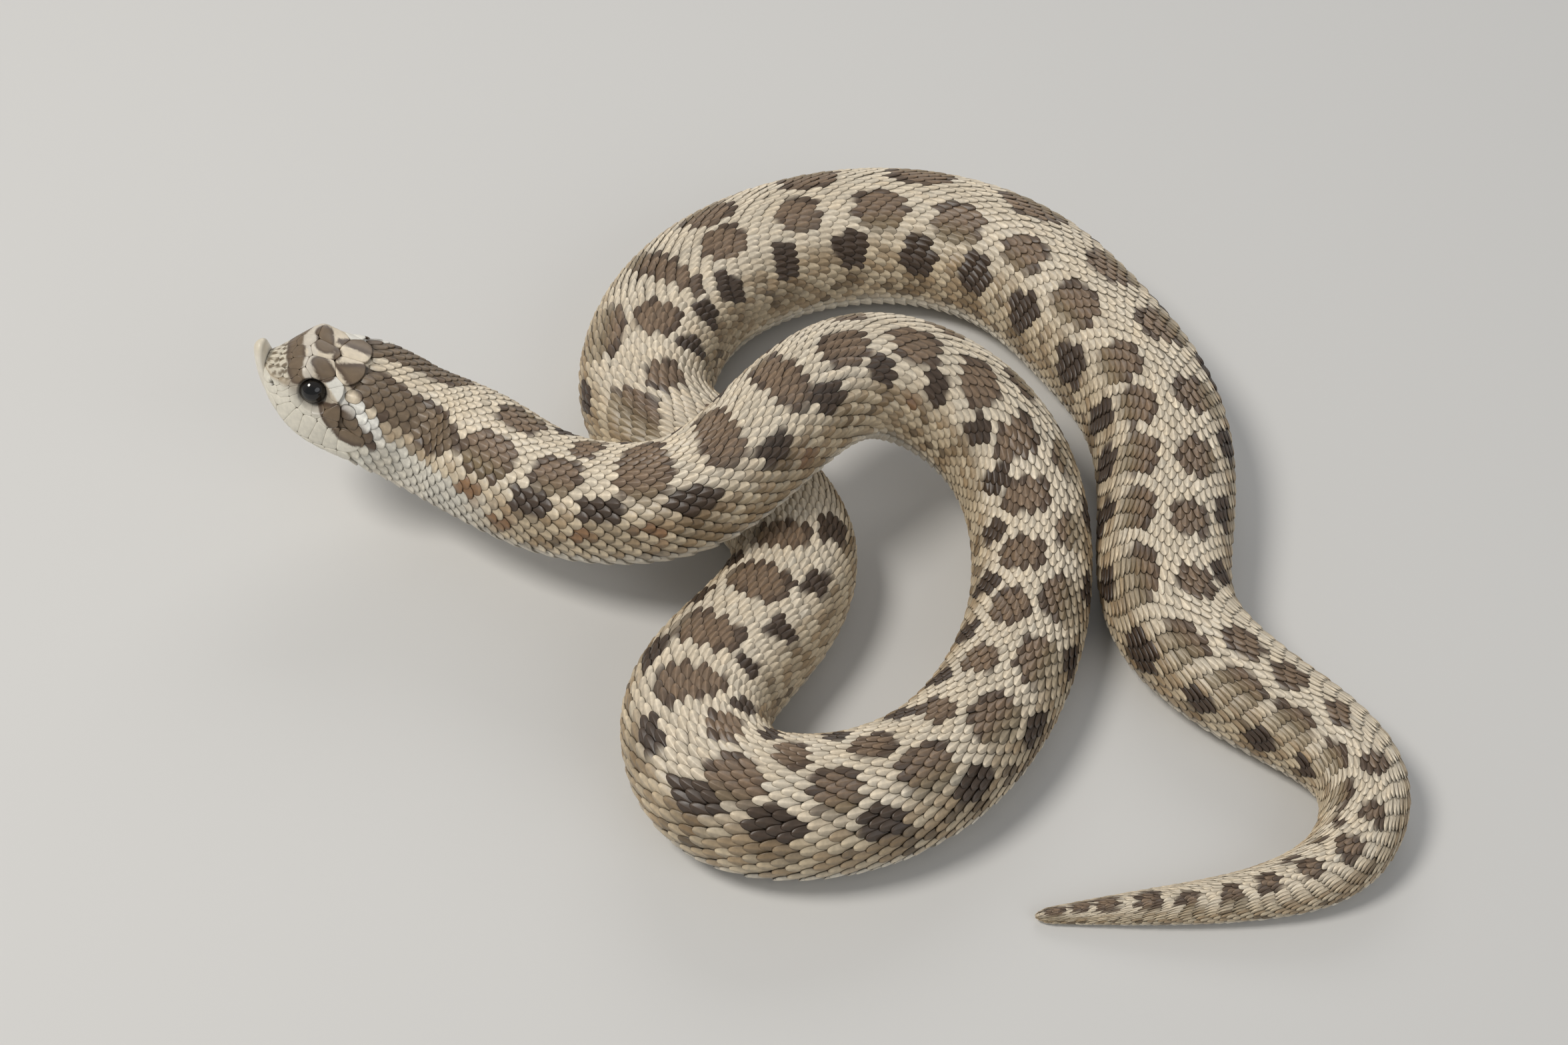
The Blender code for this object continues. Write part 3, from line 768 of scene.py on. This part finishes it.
# ------------------------ scales of the body
PITCH = 2.62  # from one scale to the next in its row, where the body is thickest
LAPPING = 1.38  # length of a scale as a share of that
THICKEST_ROUND = 33.4
NARROW_ROW = 0.88  # between two rows on the back
WIDE_ROW = 1.16  # between two rows low on the side
NECK_WIDE_ROW = 1.38
ROW_COUNT = 21  # rows on each side
VENTRAL_EDGE = 0.64
COAT_START = -12.0
COAT_END = STATIONS[-1] - 1.0
# how far the rows are turned round the body along it
ROLL_STATIONS = (0, 68, 76, 129, 140, 160, 170, 260, 281, 293, 305, 390, 405, 440, 470, 500, 520, 540)
ROLL = (0, 0, 0.1, 0.1, 0.04, 0.04, 0, 0, 0.08, 0.08, 0, 0, -0.02, -0.05, -0.09, 0.02, 0.07, 0.1)
LATTICE_START = ((0.0, 0.15, 0.22, 0.3, 0.45, 0.55, 0.66), (-9.0, -9.4, -10.5, -11.0, -9.6, -8.0, -7.0))

# one scale: its points across and along, and its width at each step along, on the back and on the side
ACROSS = np.array([-1.0, -0.82, -0.16, 0.0, 0.16, 0.82, 1.0])
ALONG_SCALE = np.array([0.0, 0.16, 0.38, 0.58, 0.74, 0.87, 0.95, 1.0])[:, None]
POINTED = np.array([0.4, 0.78, 1.0, 0.98, 0.84, 0.6, 0.36, 0.1])[:, None]
ROUNDED = np.array([0.5, 0.84, 1.0, 1.0, 0.94, 0.76, 0.52, 0.16])[:, None]
KEEL_HEIGHT = 0.13
RIM = (np.abs(ACROSS) == 1.0) | (ALONG_SCALE == 0.0) | (ALONG_SCALE == 1.0)
KEEL = ACROSS == 0.0
SUNK_ROOT = 0.42
RIM_DROP = 0.12
SCALE_WIDTH = 0.95  # a share of the room between the rows beside it
LEAN = 0.045
# painted shade over each scale: darker at its root under the scale before it, on its sides, and at its rim,
# where it also stands for the scales' darker outlines
ROOT_SHADE = 0.48
SIDE_SHADE = 0.28
RIM_SHADE = 0.27
# painted highlights over each scale: lighter along its keel and at its tip
KEEL_LIGHT = 0.16
TIP_LIGHT = 0.18
rng = np.random.default_rng(11)


def row_offset(row, wide, widening):
    """How far from the middle of the back that row runs, where the body is thickest."""
    widths = NARROW_ROW + (wide - NARROW_ROW) * ramp(np.arange(1, ROW_COUNT + 3), 0.0, widening)
    return np.sign(row) * running(widths)[np.abs(row)]


def body_size(s):
    """How large scales are at s, against those where the body is thickest."""
    return np.sqrt(half_round(s) / THICKEST_ROUND)


def pitch(s):
    """From one scale to the next in its row."""
    return PITCH * body_size(s) * np.interp(s, (-12.0, 12.0, 70.0), (0.8, 0.82, 1.0))


def row_place(s, row):
    """Where round the animal that row of scales runs at s."""
    on_neck = 1.0 - ramp(s, 8.0, 55.0)
    offset = row_offset(row, WIDE_ROW, ROW_COUNT)
    offset = offset + (row_offset(row, NECK_WIDE_ROW, 7) - offset) * on_neck
    return np.interp(s, ROLL_STATIONS, ROLL) + offset * body_size(s) / half_round(s)


def coat_edge(side):
    """The station where the scales of the body begin, that far round it."""
    return np.interp(side, *LATTICE_START)


def lattice():
    """Roots of all scales of back and sides: s, a, row."""
    stations = [COAT_START]
    while stations[-1] < COAT_END:
        stations.append(stations[-1] + 0.5 * float(pitch(stations[-1])))
    found = []
    for k, station in enumerate(stations):
        rows = np.arange(-ROW_COUNT, ROW_COUNT + 1)
        rows = rows[rows % 2 == k % 2]
        a = row_place(station, rows)
        keep = (np.abs(a) < VENTRAL_EDGE) & (station > coat_edge(np.abs(a)))
        found += [(station, at, row) for at, row in zip(a[keep], rows[keep])]
    s, a, row = np.array(found).T
    s = s + rng.normal(0.0, 0.07, len(s)) * body_size(s)
    a = a + rng.normal(0.0, 0.035, len(s)) * body_size(s) / half_round(s)
    return s, a, row


def leaf_faces(rows, columns):
    """Faces of one closed scale over its grid of points."""
    left = np.arange(1, rows - 1) * columns
    under = np.stack([left[:-1], left[1:], left[1:] + columns - 1, left[:-1] + columns - 1], axis=-1)
    root = np.array([columns, 2 * columns - 1, *range(columns - 1, -1, -1)])
    last = (rows - 1) * columns
    tip = np.array([*range(last, last + columns), last - 1, last - columns])
    return grid_faces(rows, columns), under, root[None], tip[None]


def scale_height(smooth):
    """How high each scale stands over its grid, with less of a keel where it is smooth."""
    keel = KEEL_HEIGHT * (1.0 - 0.75 * smooth) * KEEL * np.minimum(1.0, 5.0 * (1.02 - ALONG_SCALE))
    raised = rng.uniform(-0.03, 0.04, smooth.shape) * ALONG_SCALE
    height = -SUNK_ROOT + SUNK_ROOT * ramp(0.1 + 0.9 * ALONG_SCALE) - 0.1 * ACROSS**2 - RIM_DROP * RIM
    return height + keel + raised


def scale_tint(s, a, middle_s, middle_a, smooth):
    """Colours over each scale, nearly those of its middle, with painted shade at its root under the scale
    before it, on its sides and at its rim (partly the scales' darker outline), and painted highlights on its
    keel and tip.
    """
    fleck = rng.random(smooth.shape) * np.ones_like(s)
    tint = markings(middle_s + 0.15 * (s - middle_s), middle_a + 0.15 * (a - middle_a), fleck)
    # painted shade at root, sides and rim, and painted highlights on keel and tip
    shade = ROOT_SHADE + (1.0 - ROOT_SHADE) * ramp(ALONG_SCALE, 0.0, 0.45)
    shade = shade * rng.normal(1.0, 0.06, smooth.shape)
    shade = shade * (1.0 + KEEL_LIGHT * KEEL * (1.0 - smooth))
    shade = shade * (1.0 - SIDE_SHADE * (np.abs(ACROSS) > 0.5) * (1.0 - 0.6 * smooth))
    shade = shade * np.where(RIM, RIM_SHADE, 1.0) * (1.0 + TIP_LIGHT * (ALONG_SCALE > 0.85) * ~RIM)
    warm = rng.normal(0.0, 0.012, smooth.shape)[..., None] * np.array([1.0, 0.2, -1.0])
    return np.clip(tint * shade[..., None] * (1.0 + warm), 0.0, 1.0)


def make_scales(name, material, s, a, row):
    """A piece of coat: overlapping keeled scales with their roots at s, a."""
    s, a, row = (values[:, None, None] for values in (s, a, row.astype(int)))
    low = np.abs(row) / ROW_COUNT
    length = pitch(s) * LAPPING * (1.0 - 0.05 * low)
    smooth = np.maximum(ramp(low * 1.3) * 0.6, ramp(s, 50.0, -40.0) * ramp(0.3 + low))
    half_width = SCALE_WIDTH * (row_place(s, row + 1) - row_place(s, row - 1)) / 2.0 * half_round(s)
    width = POINTED + (ROUNDED - POINTED) * np.maximum(smooth, ramp(s, 470.0, 30.0))
    lean = rng.normal(0.0, LEAN, s.shape)
    x = ACROSS * width * half_width + lean * ALONG_SCALE * length
    y = ALONG_SCALE * length * np.ones_like(ACROSS)
    stretch = np.clip(read_chart(EVEN_STRETCH, s, a), 0.75, 1.22)
    point_a = a + x / half_round(s)
    point_s = read_chart(EVENED, np.clip(s + y / stretch, STATIONS[0], STATIONS[-1]), point_a)
    points = on_surface(point_s, point_a, scale_height(smooth) * body_size(s))
    middle_s = read_chart(EVENED, s + 0.62 * length / stretch, a)
    tint = scale_tint(point_s, point_a, middle_s, a, smooth)
    places = unwrapped(s, a) + scale_patch(ACROSS, ALONG_SCALE)
    return add_coat(name, points, leaf_faces(*RIM.shape), material, tint, places)


COAT_PARTS = (COAT_START, 60.0, 150.0, 240.0, 320.0, 400.0, 470.0, 540.0)


def make_coat():
    material = scaly("keeled_scales", 0.42)
    s, a, row = lattice()
    parts = []
    for k, (start, end) in enumerate(zip(COAT_PARTS, COAT_PARTS[1:])):
        here = (s >= start) & (s < end)
        parts.append(make_scales(f"scales_{k + 1:02}", material, s[here], a[here], row[here]))
    return parts


# ------------------------ plates of the head
# f and up
MOUTH_LINE = ((-10.2, -3.6), (-7.0, -5.5), (-3.5, -6.7), (0.5, -7.2), (4.6, -7.9), (9.0, -8.3))
PLATE_GAP = 0.006
SQUARE = ((-1.0, -1.0), (1.0, -1.0), (1.0, 1.0), (-1.0, 1.0))  # its corners
CELL_REACH = 3.6
NEIGHBOUR_REACH = 9.0
SHORTEST_OUTLINE = 1.6
SNOUT_START = -18.5
PLATE_SIDES = 32
PLATE_RINGS = np.array([1.0, 0.95, 0.86, 0.74, 0.6, 0.46, 0.32, 0.16])  # shares of a plate's outline
SUNK_EDGE = 0.45
EDGE_DROP = 0.035
INNER_DROP = 0.015
DOME = 0.035
BROW_RISE = 0.3
BROW_SPREAD = (2.2, 0.9)
# s and q
EYE_IN_CHART = (-14.5, 7.5)
EYE_RING = 2.5  # from the eye to the middles of the small plates round it
BROW_IN_CHART = (-14.2, 4.9)
LIP_START = -19.4
LIP_STEP = 1.95
LIP_COUNT = 7
# large plates: s and q, weight, how far off small plates stay
LARGE_PLATES = (
    (-15.2, 0.0, 1.5, 2.6), (-14.6, 3.6, 3.2, 2.7), (-10.6, 2.1, 2.4, 2.9),
    (-18.0, 1.25, 0.5, 1.7), (-17.7, 3.6, 0.4, 1.7), (-20.4, 5.4, 0.8, 1.7),
)
CHIN_SHIELDS = ((-17.8, 1.45, 1.4, 2.1), (-14.4, 1.5, 1.8, 2.2))


def plate_round(s):
    """Half round the head as plates are laid out on it: it stays wide where the snout runs to a point."""
    return half_round(np.maximum(s, SNOUT_START))


def mouth_round(s):
    """How many mm round the head the mouth line lies from the middle of the crown."""
    half = POINTS[np.argmin(np.abs(STATIONS - s)), HALF_COLUMNS - 1 :]
    drops = (head_place((0.0, 0.0, 0.0)) - half) @ HEAD_AXES[2]
    drop = -np.interp(HEAD_SECTIONS[0][0] - s, *zip(*MOUTH_LINE))
    return float(np.interp(drop, drops, np.linspace(0.0, 1.0, HALF_COLUMNS))) * float(plate_round(s))


def hexagonal(first_s, last_s, first_q, last_q, spacing):
    """Middles of a honeycomb of small plates."""
    found = []
    for k, s in enumerate(np.arange(first_s, last_s, spacing * 0.87)):
        found += [(s, q) for q in np.arange(first_q + (k % 2) * spacing / 2.0, last_q, spacing)]
    return found


def fill_small(built, taken, middles, allowed):
    """Add the small plates that stand clear of those taken and where they are allowed."""
    for s, q in middles:
        if allowed(s, q) and all(math.hypot(s - t, q - p) > reach for t, p, _, reach in taken):
            built.append((s, q, 0.0, 0.0))


def head_seeds():
    """Middles and weights of the plates on one side of the crown, then of what bounds them."""
    built = list(LARGE_PLATES)
    eye_s, eye_q = EYE_IN_CHART
    for k in range(9):
        angle = math.radians(35.0 * k - 50.0)
        built.append((eye_s + EYE_RING * math.cos(angle), eye_q + EYE_RING * math.sin(angle), 0.0, 1.5))
    for k in range(LIP_COUNT):
        s = LIP_START + LIP_STEP * k
        built.append((s, mouth_round(s) - 2.2, 3.6, 2.5))
        built.append((s + 0.6, mouth_round(s + 0.6) + 1.1, 0.0, 1.6))
    small = hexagonal(-21.2, -18.4, 0.0, 9.0, 1.35) + hexagonal(-18.4, -3.5, 0.0, 13.5, 1.75)
    taken = [*built, (*EYE_IN_CHART, 0.0, 3.2)]
    fill_small(built, taken, small, lambda s, q: s < coat_edge(q / plate_round(s)) + 0.6)
    limits = [(*EYE_IN_CHART, 3.1)]
    for a in np.arange(0.0, 0.7, 0.055):
        s = float(coat_edge(a)) + 2.2
        limits.append((s, a * plate_round(s), 0.0))
    for k in range(9):
        s = -20.0 + 2.0 * k
        limits.append((s, mouth_round(s) + 3.6, 0.0))
    return [seed[:3] for seed in built], limits


def chin_seeds():
    """Middles and weights of the plates on one side of the throat, then of what bounds them."""
    built = list(CHIN_SHIELDS)

    def under_jaw(s, q):
        a = 1.0 - q / plate_round(s)
        rear = coat_edge(a) + 0.6 if a < VENTRAL_EDGE else -9.3
        return s < rear and q < plate_round(s) - mouth_round(s) - 2.9

    fill_small(built, CHIN_SHIELDS, hexagonal(-20.8, -7.0, 0.0, 14.0, 1.7), under_jaw)
    limits = [(s, plate_round(s) - mouth_round(s) - 1.6, 0.0) for s in np.arange(-21.5, -5.0, 1.1)]
    limits += [(-7.9, q, 0.0) for q in np.arange(0.0, 10.0, 1.1)]
    for a in np.arange(0.4, VENTRAL_EDGE, 0.05):
        s = float(coat_edge(a)) + 2.2
        limits.append((s, (1.0 - a) * plate_round(s), 0.0))
    return [seed[:3] for seed in built], limits


def cell(seed, others):
    """The polygon of places nearer to seed than to the others, each less its weight, shrunk by the gap."""
    s, q, weight = seed
    corners = [np.array([s + x * CELL_REACH, q + y * CELL_REACH]) for x, y in SQUARE]
    for other in others:
        away = np.array([other[0] - s, other[1] - q])
        apart = float(np.hypot(*away))
        if not 1e-6 <= apart <= NEIGHBOUR_REACH:
            continue
        away = away / apart
        limit = (apart**2 + weight - other[2]) / (2.0 * apart) - PLATE_GAP
        beyond = [float((corner - (s, q)) @ away) - limit for corner in corners]
        kept = []
        for k, corner in enumerate(corners):
            following = (k + 1) % len(corners)
            if beyond[k] <= 0.0:
                kept.append(corner)
            if (beyond[k] <= 0.0) != (beyond[following] <= 0.0):
                share = beyond[k] / (beyond[k] - beyond[following])
                kept.append(corner + share * (corners[following] - corner))
        corners = kept
        if len(corners) < 3:
            return None
    return np.array(corners)


def rounded_outline(corners):
    """Even points round a polygon, its corners softened."""
    closed = np.concatenate([corners, corners[:1]])
    lengths = running(np.hypot(*np.diff(closed, axis=0).T))
    if lengths[-1] < SHORTEST_OUTLINE:
        return None
    places = np.linspace(0.0, lengths[-1], PLATE_SIDES, endpoint=False)
    ring = np.stack([np.interp(places, lengths, closed[:, k]) for k in (0, 1)], axis=-1)
    return 0.5 * ring + 0.25 * (np.roll(ring, 1, axis=0) + np.roll(ring, -1, axis=0))


def plate_faces():
    """Faces of one closed plate: rings of points from its underside in, then its middle."""
    rings = len(PLATE_RINGS) + 1
    size = rings * PLATE_SIDES
    top = fan_faces(size, size - PLATE_SIDES, PLATE_SIDES)
    return tube_faces(rings, PLATE_SIDES), top, np.arange(PLATE_SIDES)[::-1][None]


def plate_outlines(seeds, limits):
    """Outlines of the plates on both sides of the middle, each a ring of s and q."""
    mirrored = [(s, -q, weight) for s, q, weight in seeds if q > 0.3]
    everyone = seeds + mirrored + limits + [(s, -q, weight) for s, q, weight in limits]
    outlines = []
    for seed in seeds + mirrored:
        corners = cell(seed, everyone)
        outline = None if corners is None else rounded_outline(corners)
        if outline is not None:
            outlines.append(outline)
    return np.array(outlines)


def ring_values(*values):
    """One value for each point of a plate, from those of its rings and of its middle."""
    return np.append(np.repeat(values[:-1], PLATE_SIDES), values[-1])


def plate_points(s, a, reach):
    """Points of each plate, domed, swelling over the brows and clear of the eyes' openings."""
    inner = PLATE_RINGS[1:]
    level = ring_values(-SUNK_EDGE, -EDGE_DROP, *(-INNER_DROP * (inner > 0.9)), 0.0)
    dome = ring_values(0.0, 0.0, *(1.0 - inner**2), 1.0)
    beside_brow = (np.abs(a * plate_round(s)) - BROW_IN_CHART[1]) / BROW_SPREAD[1]
    brow = np.exp(-(((s - BROW_IN_CHART[0]) / BROW_SPREAD[0]) ** 2) - beside_brow**2)
    points = on_surface(s, a, BROW_RISE * brow + level + DOME * reach * dome)
    for eye, out in zip(EYES, LOOKING):
        rise, away, beside = round_eye(points, eye, out)
        near = (away < EYE_OPENING) & (rise > -1.0)
        pushed = points + beside * ((EYE_OPENING - away) / np.maximum(away, 0.05))[..., None]
        points = np.where(near[..., None], pushed, points)
    return points + dishing(read_chart(POINTS, s, a)) + nostril_pits(points, 0.7, 0.75)


def plate_tint(s, a, points):
    """Colours over each plate, with painted shade at its edge, where the seams between plates lie, and in the
    nostrils.
    """
    each = (len(s), 1)
    fleck = np.broadcast_to(0.6 * rng.random(each), s.shape)
    seen_s = s[:, -1:] + 0.85 * (s - s[:, -1:])
    seen_a = a[:, -1:] + 0.85 * (np.mod(a - a[:, -1:] + 1.0, 2.0) - 1.0)
    # painted shade at each plate's edge, in the seams between plates, with their darker joints
    shade = ring_values(0.84, 0.92, *np.ones(len(PLATE_RINGS) - 1), 1.0) * rng.normal(1.0, 0.04, each)
    # painted shade in the nostrils
    for nostril in NOSTRILS:
        shade = shade * (0.2 + 0.8 * ramp(distance(points, nostril), 0.4, 0.25))
    return np.clip(markings(seen_s, seen_a, fleck) * shade[..., None], 0.0, 1.0)


def make_plates(name, material, outlines, middle_line):
    """Low domed plates, their outlines placed from the crown (middle_line 0) or from the throat (1)."""
    middles = outlines.mean(axis=1, keepdims=True)
    reach = np.linalg.norm(outlines - middles, axis=-1).mean(axis=1)[:, None]
    shares = np.array([1.0, *PLATE_RINGS])[None, :, None, None]
    rings = middles[:, None] + shares * (outlines - middles)[:, None]
    flat = np.concatenate([rings.reshape(len(outlines), -1, 2), middles], axis=1)
    s, q = np.clip(flat[..., 0], STATIONS[0], None), flat[..., 1]
    a = np.mod(middle_line + q / plate_round(s) + 1.0, 2.0) - 1.0
    points = plate_points(s, a, reach)
    patch = (flat - middles) / (2.0 * reach[..., None]) * SCALE_PATCH
    places = unwrapped(s[:, -1:], a[:, -1:]) + patch
    return add_coat(name, points, plate_faces(), material, plate_tint(s, a, points), places)


def make_head_plates(material):
    return [
        make_plates("head_plates", material, plate_outlines(*head_seeds()), 0.0),
        make_plates("chin_plates", material, plate_outlines(*chin_seeds()), 1.0),
    ]


# ------------------------ belly plates
BELLY_START = -10.0
BELLY_END = STATIONS[-1] - 1.4
ACROSS_BELLY = np.linspace(-1.0, 1.0, 25)
ALONG_BELLY_PLATE = np.array([0.0, 0.1, 0.35, 0.7, 0.93, 1.0])[:, None]


def make_belly(material):
    """The broad plates across the belly, one to each crosswise row of scales."""
    stations = [BELLY_START]
    while stations[-1] < BELLY_END:
        stations.append(stations[-1] + PITCH * float(body_size(stations[-1])))
    s = np.array(stations)[:, None, None]
    across, along = ACROSS_BELLY, ALONG_BELLY_PLATE
    size = body_size(s)
    bow = 0.35 * (1.0 - across**2)
    y = (along * 1.25 + bow * 0.35 - 0.1) * PITCH * size
    point_s = np.clip(s + y, STATIONS[0], STATIONS[-1])
    point_a = 1.0 + across * (1.0 - VENTRAL_EDGE + 0.03) * (0.88 + 0.12 * ramp(along * 3.0))
    rim = (np.abs(across) == 1.0) | (along == 0.0) | (along == 1.0)
    height = -0.4 + 0.38 * ramp(along) - 0.1 * rim
    points = on_surface(point_s, np.broadcast_to(point_a, point_s.shape), height * size)
    points[..., 2] = np.maximum(points[..., 2], 0.0)
    tint = np.broadcast_to(BELLY, points.shape) * rng.normal(1.0, 0.04, s.shape)[..., None]
    # painted shade at each belly plate's rim, in the seams between plates
    tint = tint * np.where(rim, 0.6, 1.0)[..., None]
    places = unwrapped(s, np.full(s.shape, 0.985)) + scale_patch(across, along)
    return add_coat("belly_plates", points, leaf_faces(*rim.shape), material, tint, places)


# ------------------------ eyes and rostral scale
EYE_RINGS = 23
EYE_SIDES = 36
RIM_AROUND = 48
RIM_SIDES = 10
RIM_HALF_WIDTH = 0.17
HORN_RIDGE = 0.2
HORN_RIDGE_WIDTH = 0.6
HORN_RINGS = 44
HORN_SIDES = 48


def round_axis(turn, axis):
    """Directions that turn about an axis out of the side of the head, from straight ahead upwards."""
    forward = HEAD_AXES[0]
    upward = np.cross(forward, axis) * np.sign(axis @ HEAD_AXES[1])
    return np.cos(turn)[..., None] * forward + np.sin(turn)[..., None] * upward


def make_eye(name, middle, out):
    """A dark glossy eye with a faint iris round its pupil."""
    material, shader = principled(f"{name}_surface", 0.08, 0.4)
    shader.inputs["Coat Weight"].default_value = 0.4
    shader.inputs["Coat Roughness"].default_value = 0.03
    material.node_tree.links.new(tint_of_mesh(material), shader.inputs["Base Color"])
    polar = np.linspace(0.0, math.pi, EYE_RINGS + 2)[1:-1, None]
    beside = np.sin(polar)[..., None] * round_axis(turns(EYE_SIDES), out)
    ball = np.cos(polar)[..., None] * out + beside
    points = middle + EYE_RADIUS * np.concatenate([ball.reshape(-1, 3), [out, -out]])
    faces = closed_tube_faces(EYE_RINGS, EYE_SIDES)
    if out @ HEAD_AXES[1] > 0.0:
        faces = turned_over(faces)
    angle = np.append(np.repeat(polar, EYE_SIDES), [0.0, math.pi])
    iris = ramp(angle, 0.52, 0.1) * (1.0 - ramp(angle, 1.0, 0.35))
    eye = add_piece(name, points, faces, material, blend(PUPIL, IRIS, iris))
    return eye


def make_eye_rims(material):
    """The thin dark folds of skin round both eyes."""
    section = turns(RIM_SIDES)
    reach = EYE_OPENING + 0.1 + RIM_HALF_WIDTH * np.cos(section)[:, None]
    rise = RIM_RISE + 0.12 + RIM_HALF_WIDTH * np.sin(section)[:, None]
    turn = turns(RIM_AROUND)[:, None]
    rims = np.array([eye + rise * out + reach * round_axis(turn, out) for eye, out in zip(EYES, LOOKING)])
    size = RIM_AROUND * RIM_SIDES
    faces = tube_faces(RIM_AROUND + 1, RIM_SIDES) % size
    faces = [faces[:, ::-1], faces + size]
    return add_piece("eye_rims", rims.reshape(-1, 3), faces, material, np.tile(EYE_RIM, (2 * size, 1)))


def make_rostral(material):
    """The upturned spade-shaped scale at the end of the snout, wrapped a little back round it."""
    foot, tip = np.array(ROSTRAL_FOOT), np.array(ROSTRAL_TIP)
    along = tip - foot
    ahead = unit(np.array([along[1], -along[0]]))
    share = ((np.arange(HORN_RINGS) + 0.5) / HORN_RINGS)[:, None]
    turn = turns(HORN_SIDES)
    taper = np.sqrt(1.0 - (2.0 * share - 1.0) ** 8)
    across = ROSTRAL_HALF_WIDTH * taper * (1.0 - ROSTRAL_NARROWING * share**1.3) * np.cos(turn)
    depth = 0.5 * ROSTRAL_THICKNESS * taper * (1.0 - 0.15 * share) * np.sin(turn)
    depth = depth + HORN_RIDGE * np.exp(-((across / HORN_RIDGE_WIDTH) ** 2)) * (np.sin(turn) > 0) * taper
    depth = depth - ROSTRAL_WRAP * (1.0 - 0.5 * share) * across**2
    centre = foot + along * share + ahead * ROSTRAL_BULGE * 4.0 * share * (1.0 - share)
    plane = centre[:, None] + ahead * depth[..., None]
    points = head_place(np.stack([plane[..., 0], across, plane[..., 1]], axis=-1))
    ends = head_place([(x, 0.0, z) for x, z in (foot, tip)])
    points = np.concatenate([points.reshape(-1, 3), ends])
    # the horn's colour darkens towards its tip
    towards_tip = ramp(np.append(np.repeat(share, HORN_SIDES), share[[0, -1]]), 0.75, 0.25)
    faces = closed_tube_faces(HORN_RINGS, HORN_SIDES)
    horn = add_piece("rostral", points, faces, material, blend(HORN, HORN_TIP_TONE, towards_tip))
    return horn


# ------------------------ setting
FLOOR_COLOUR = (0.62, 0.61, 0.59, 1.0)
FLOOR_HALF = 20.0  # metres
WORLD_STRENGTH = 0.35
# place, width and height, power, colour
LAMPS = {
    "key_light": ((-0.45, -0.1, 0.75), (0.3, 0.3), 4.6, (1.0, 0.97, 0.92)),
    "fill_light": ((0.6, -0.6, 0.5), (0.8, 0.6), 1.5, (0.94, 0.97, 1.0)),
    "back_light": ((0.1, 0.8, 0.55), (0.8, 0.4), 1.8, (1.0, 1.0, 1.0)),
}
LAMP_AIM = (0.0, 0.0, 0.01)
CAMERA_PLACE = (-0.00362, -0.22331, 0.24551)
CAMERA_AIM = (-0.00362, 0.00166, 0.0)


def make_stage():
    material, shader = principled("pale_floor", 0.85, 0.2)
    shader.inputs["Base Color"].default_value = FLOOR_COLOUR
    mesh = bpy.data.meshes.new("floor")
    mesh.from_pydata([(x * FLOOR_HALF, y * FLOOR_HALF, 0.0) for x, y in SQUARE], [], [(0, 1, 2, 3)])
    mesh.materials.append(material)
    floor = add_object("floor", mesh)


def set_facing(obj, place, aim):
    """Put a lamp or a camera at a place and turn it to face another."""
    obj.location = place
    obj.rotation_euler = (Vector(aim) - Vector(place)).to_track_quat("-Z", "Y").to_euler()


def make_lamps():
    for name, (place, (width, height), power, colour) in LAMPS.items():
        lamp = bpy.data.lights.new(name, "AREA")
        lamp.shape = "ELLIPSE"
        lamp.size = width
        lamp.size_y = height
        lamp.energy = power
        lamp.color = colour
        set_facing(add_object(name, lamp), place, LAMP_AIM)


def make_world():
    """Light from all round, and behind everything the colour of the floor."""
    world = bpy.data.worlds.new("studio")
    world.use_nodes = True
    nodes, links = world.node_tree.nodes, world.node_tree.links
    lighting = nodes["Background"]
    lighting.inputs["Color"].default_value = (0.9, 0.92, 0.95, 1.0)
    lighting.inputs["Strength"].default_value = WORLD_STRENGTH
    seen = nodes.new("ShaderNodeBackground")
    seen.inputs["Color"].default_value = FLOOR_COLOUR
    seen.inputs["Strength"].default_value = 0.92 * WORLD_STRENGTH
    path = nodes.new("ShaderNodeLightPath")
    mixed = nodes.new("ShaderNodeMixShader")
    links.new(path.outputs["Is Camera Ray"], mixed.inputs["Fac"])
    links.new(lighting.outputs["Background"], mixed.inputs[1])
    links.new(seen.outputs["Background"], mixed.inputs[2])
    links.new(mixed.outputs["Shader"], nodes["World Output"].inputs["Surface"])
    bpy.context.scene.world = world


def make_camera():
    lens = bpy.data.cameras.new("camera")
    lens.lens = 50.0
    lens.sensor_width = 36.0
    lens.clip_start = 0.01
    camera = add_object("camera", lens)
    set_facing(camera, CAMERA_PLACE, CAMERA_AIM)
    bpy.context.scene.camera = camera


def main():
    skin = make_skin()
    coat = make_coat()
    belly = make_belly(scaly("belly_scales", 0.4))
    plate_material = scaly("head_plate_scales", 0.38, 0.0008, 0.08)
    plates = [*make_head_plates(plate_material), make_eye_rims(plate_material)]
    horn = make_rostral(scaly("horn", 0.4, 0.0012, 0.06))
    left, right = (make_eye(*eye) for eye in zip(("left_eye", "right_eye"), EYES, LOOKING))
    flesh = [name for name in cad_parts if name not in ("rostral_scale", "eye_left", "eye_right")]
    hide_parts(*flesh)
    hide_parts("rostral_scale")
    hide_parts("eye_left")
    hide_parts("eye_right")
    make_stage()
    make_lamps()
    make_world()
    make_camera()
    bpy.context.scene.view_settings.view_transform = "Standard"


main()
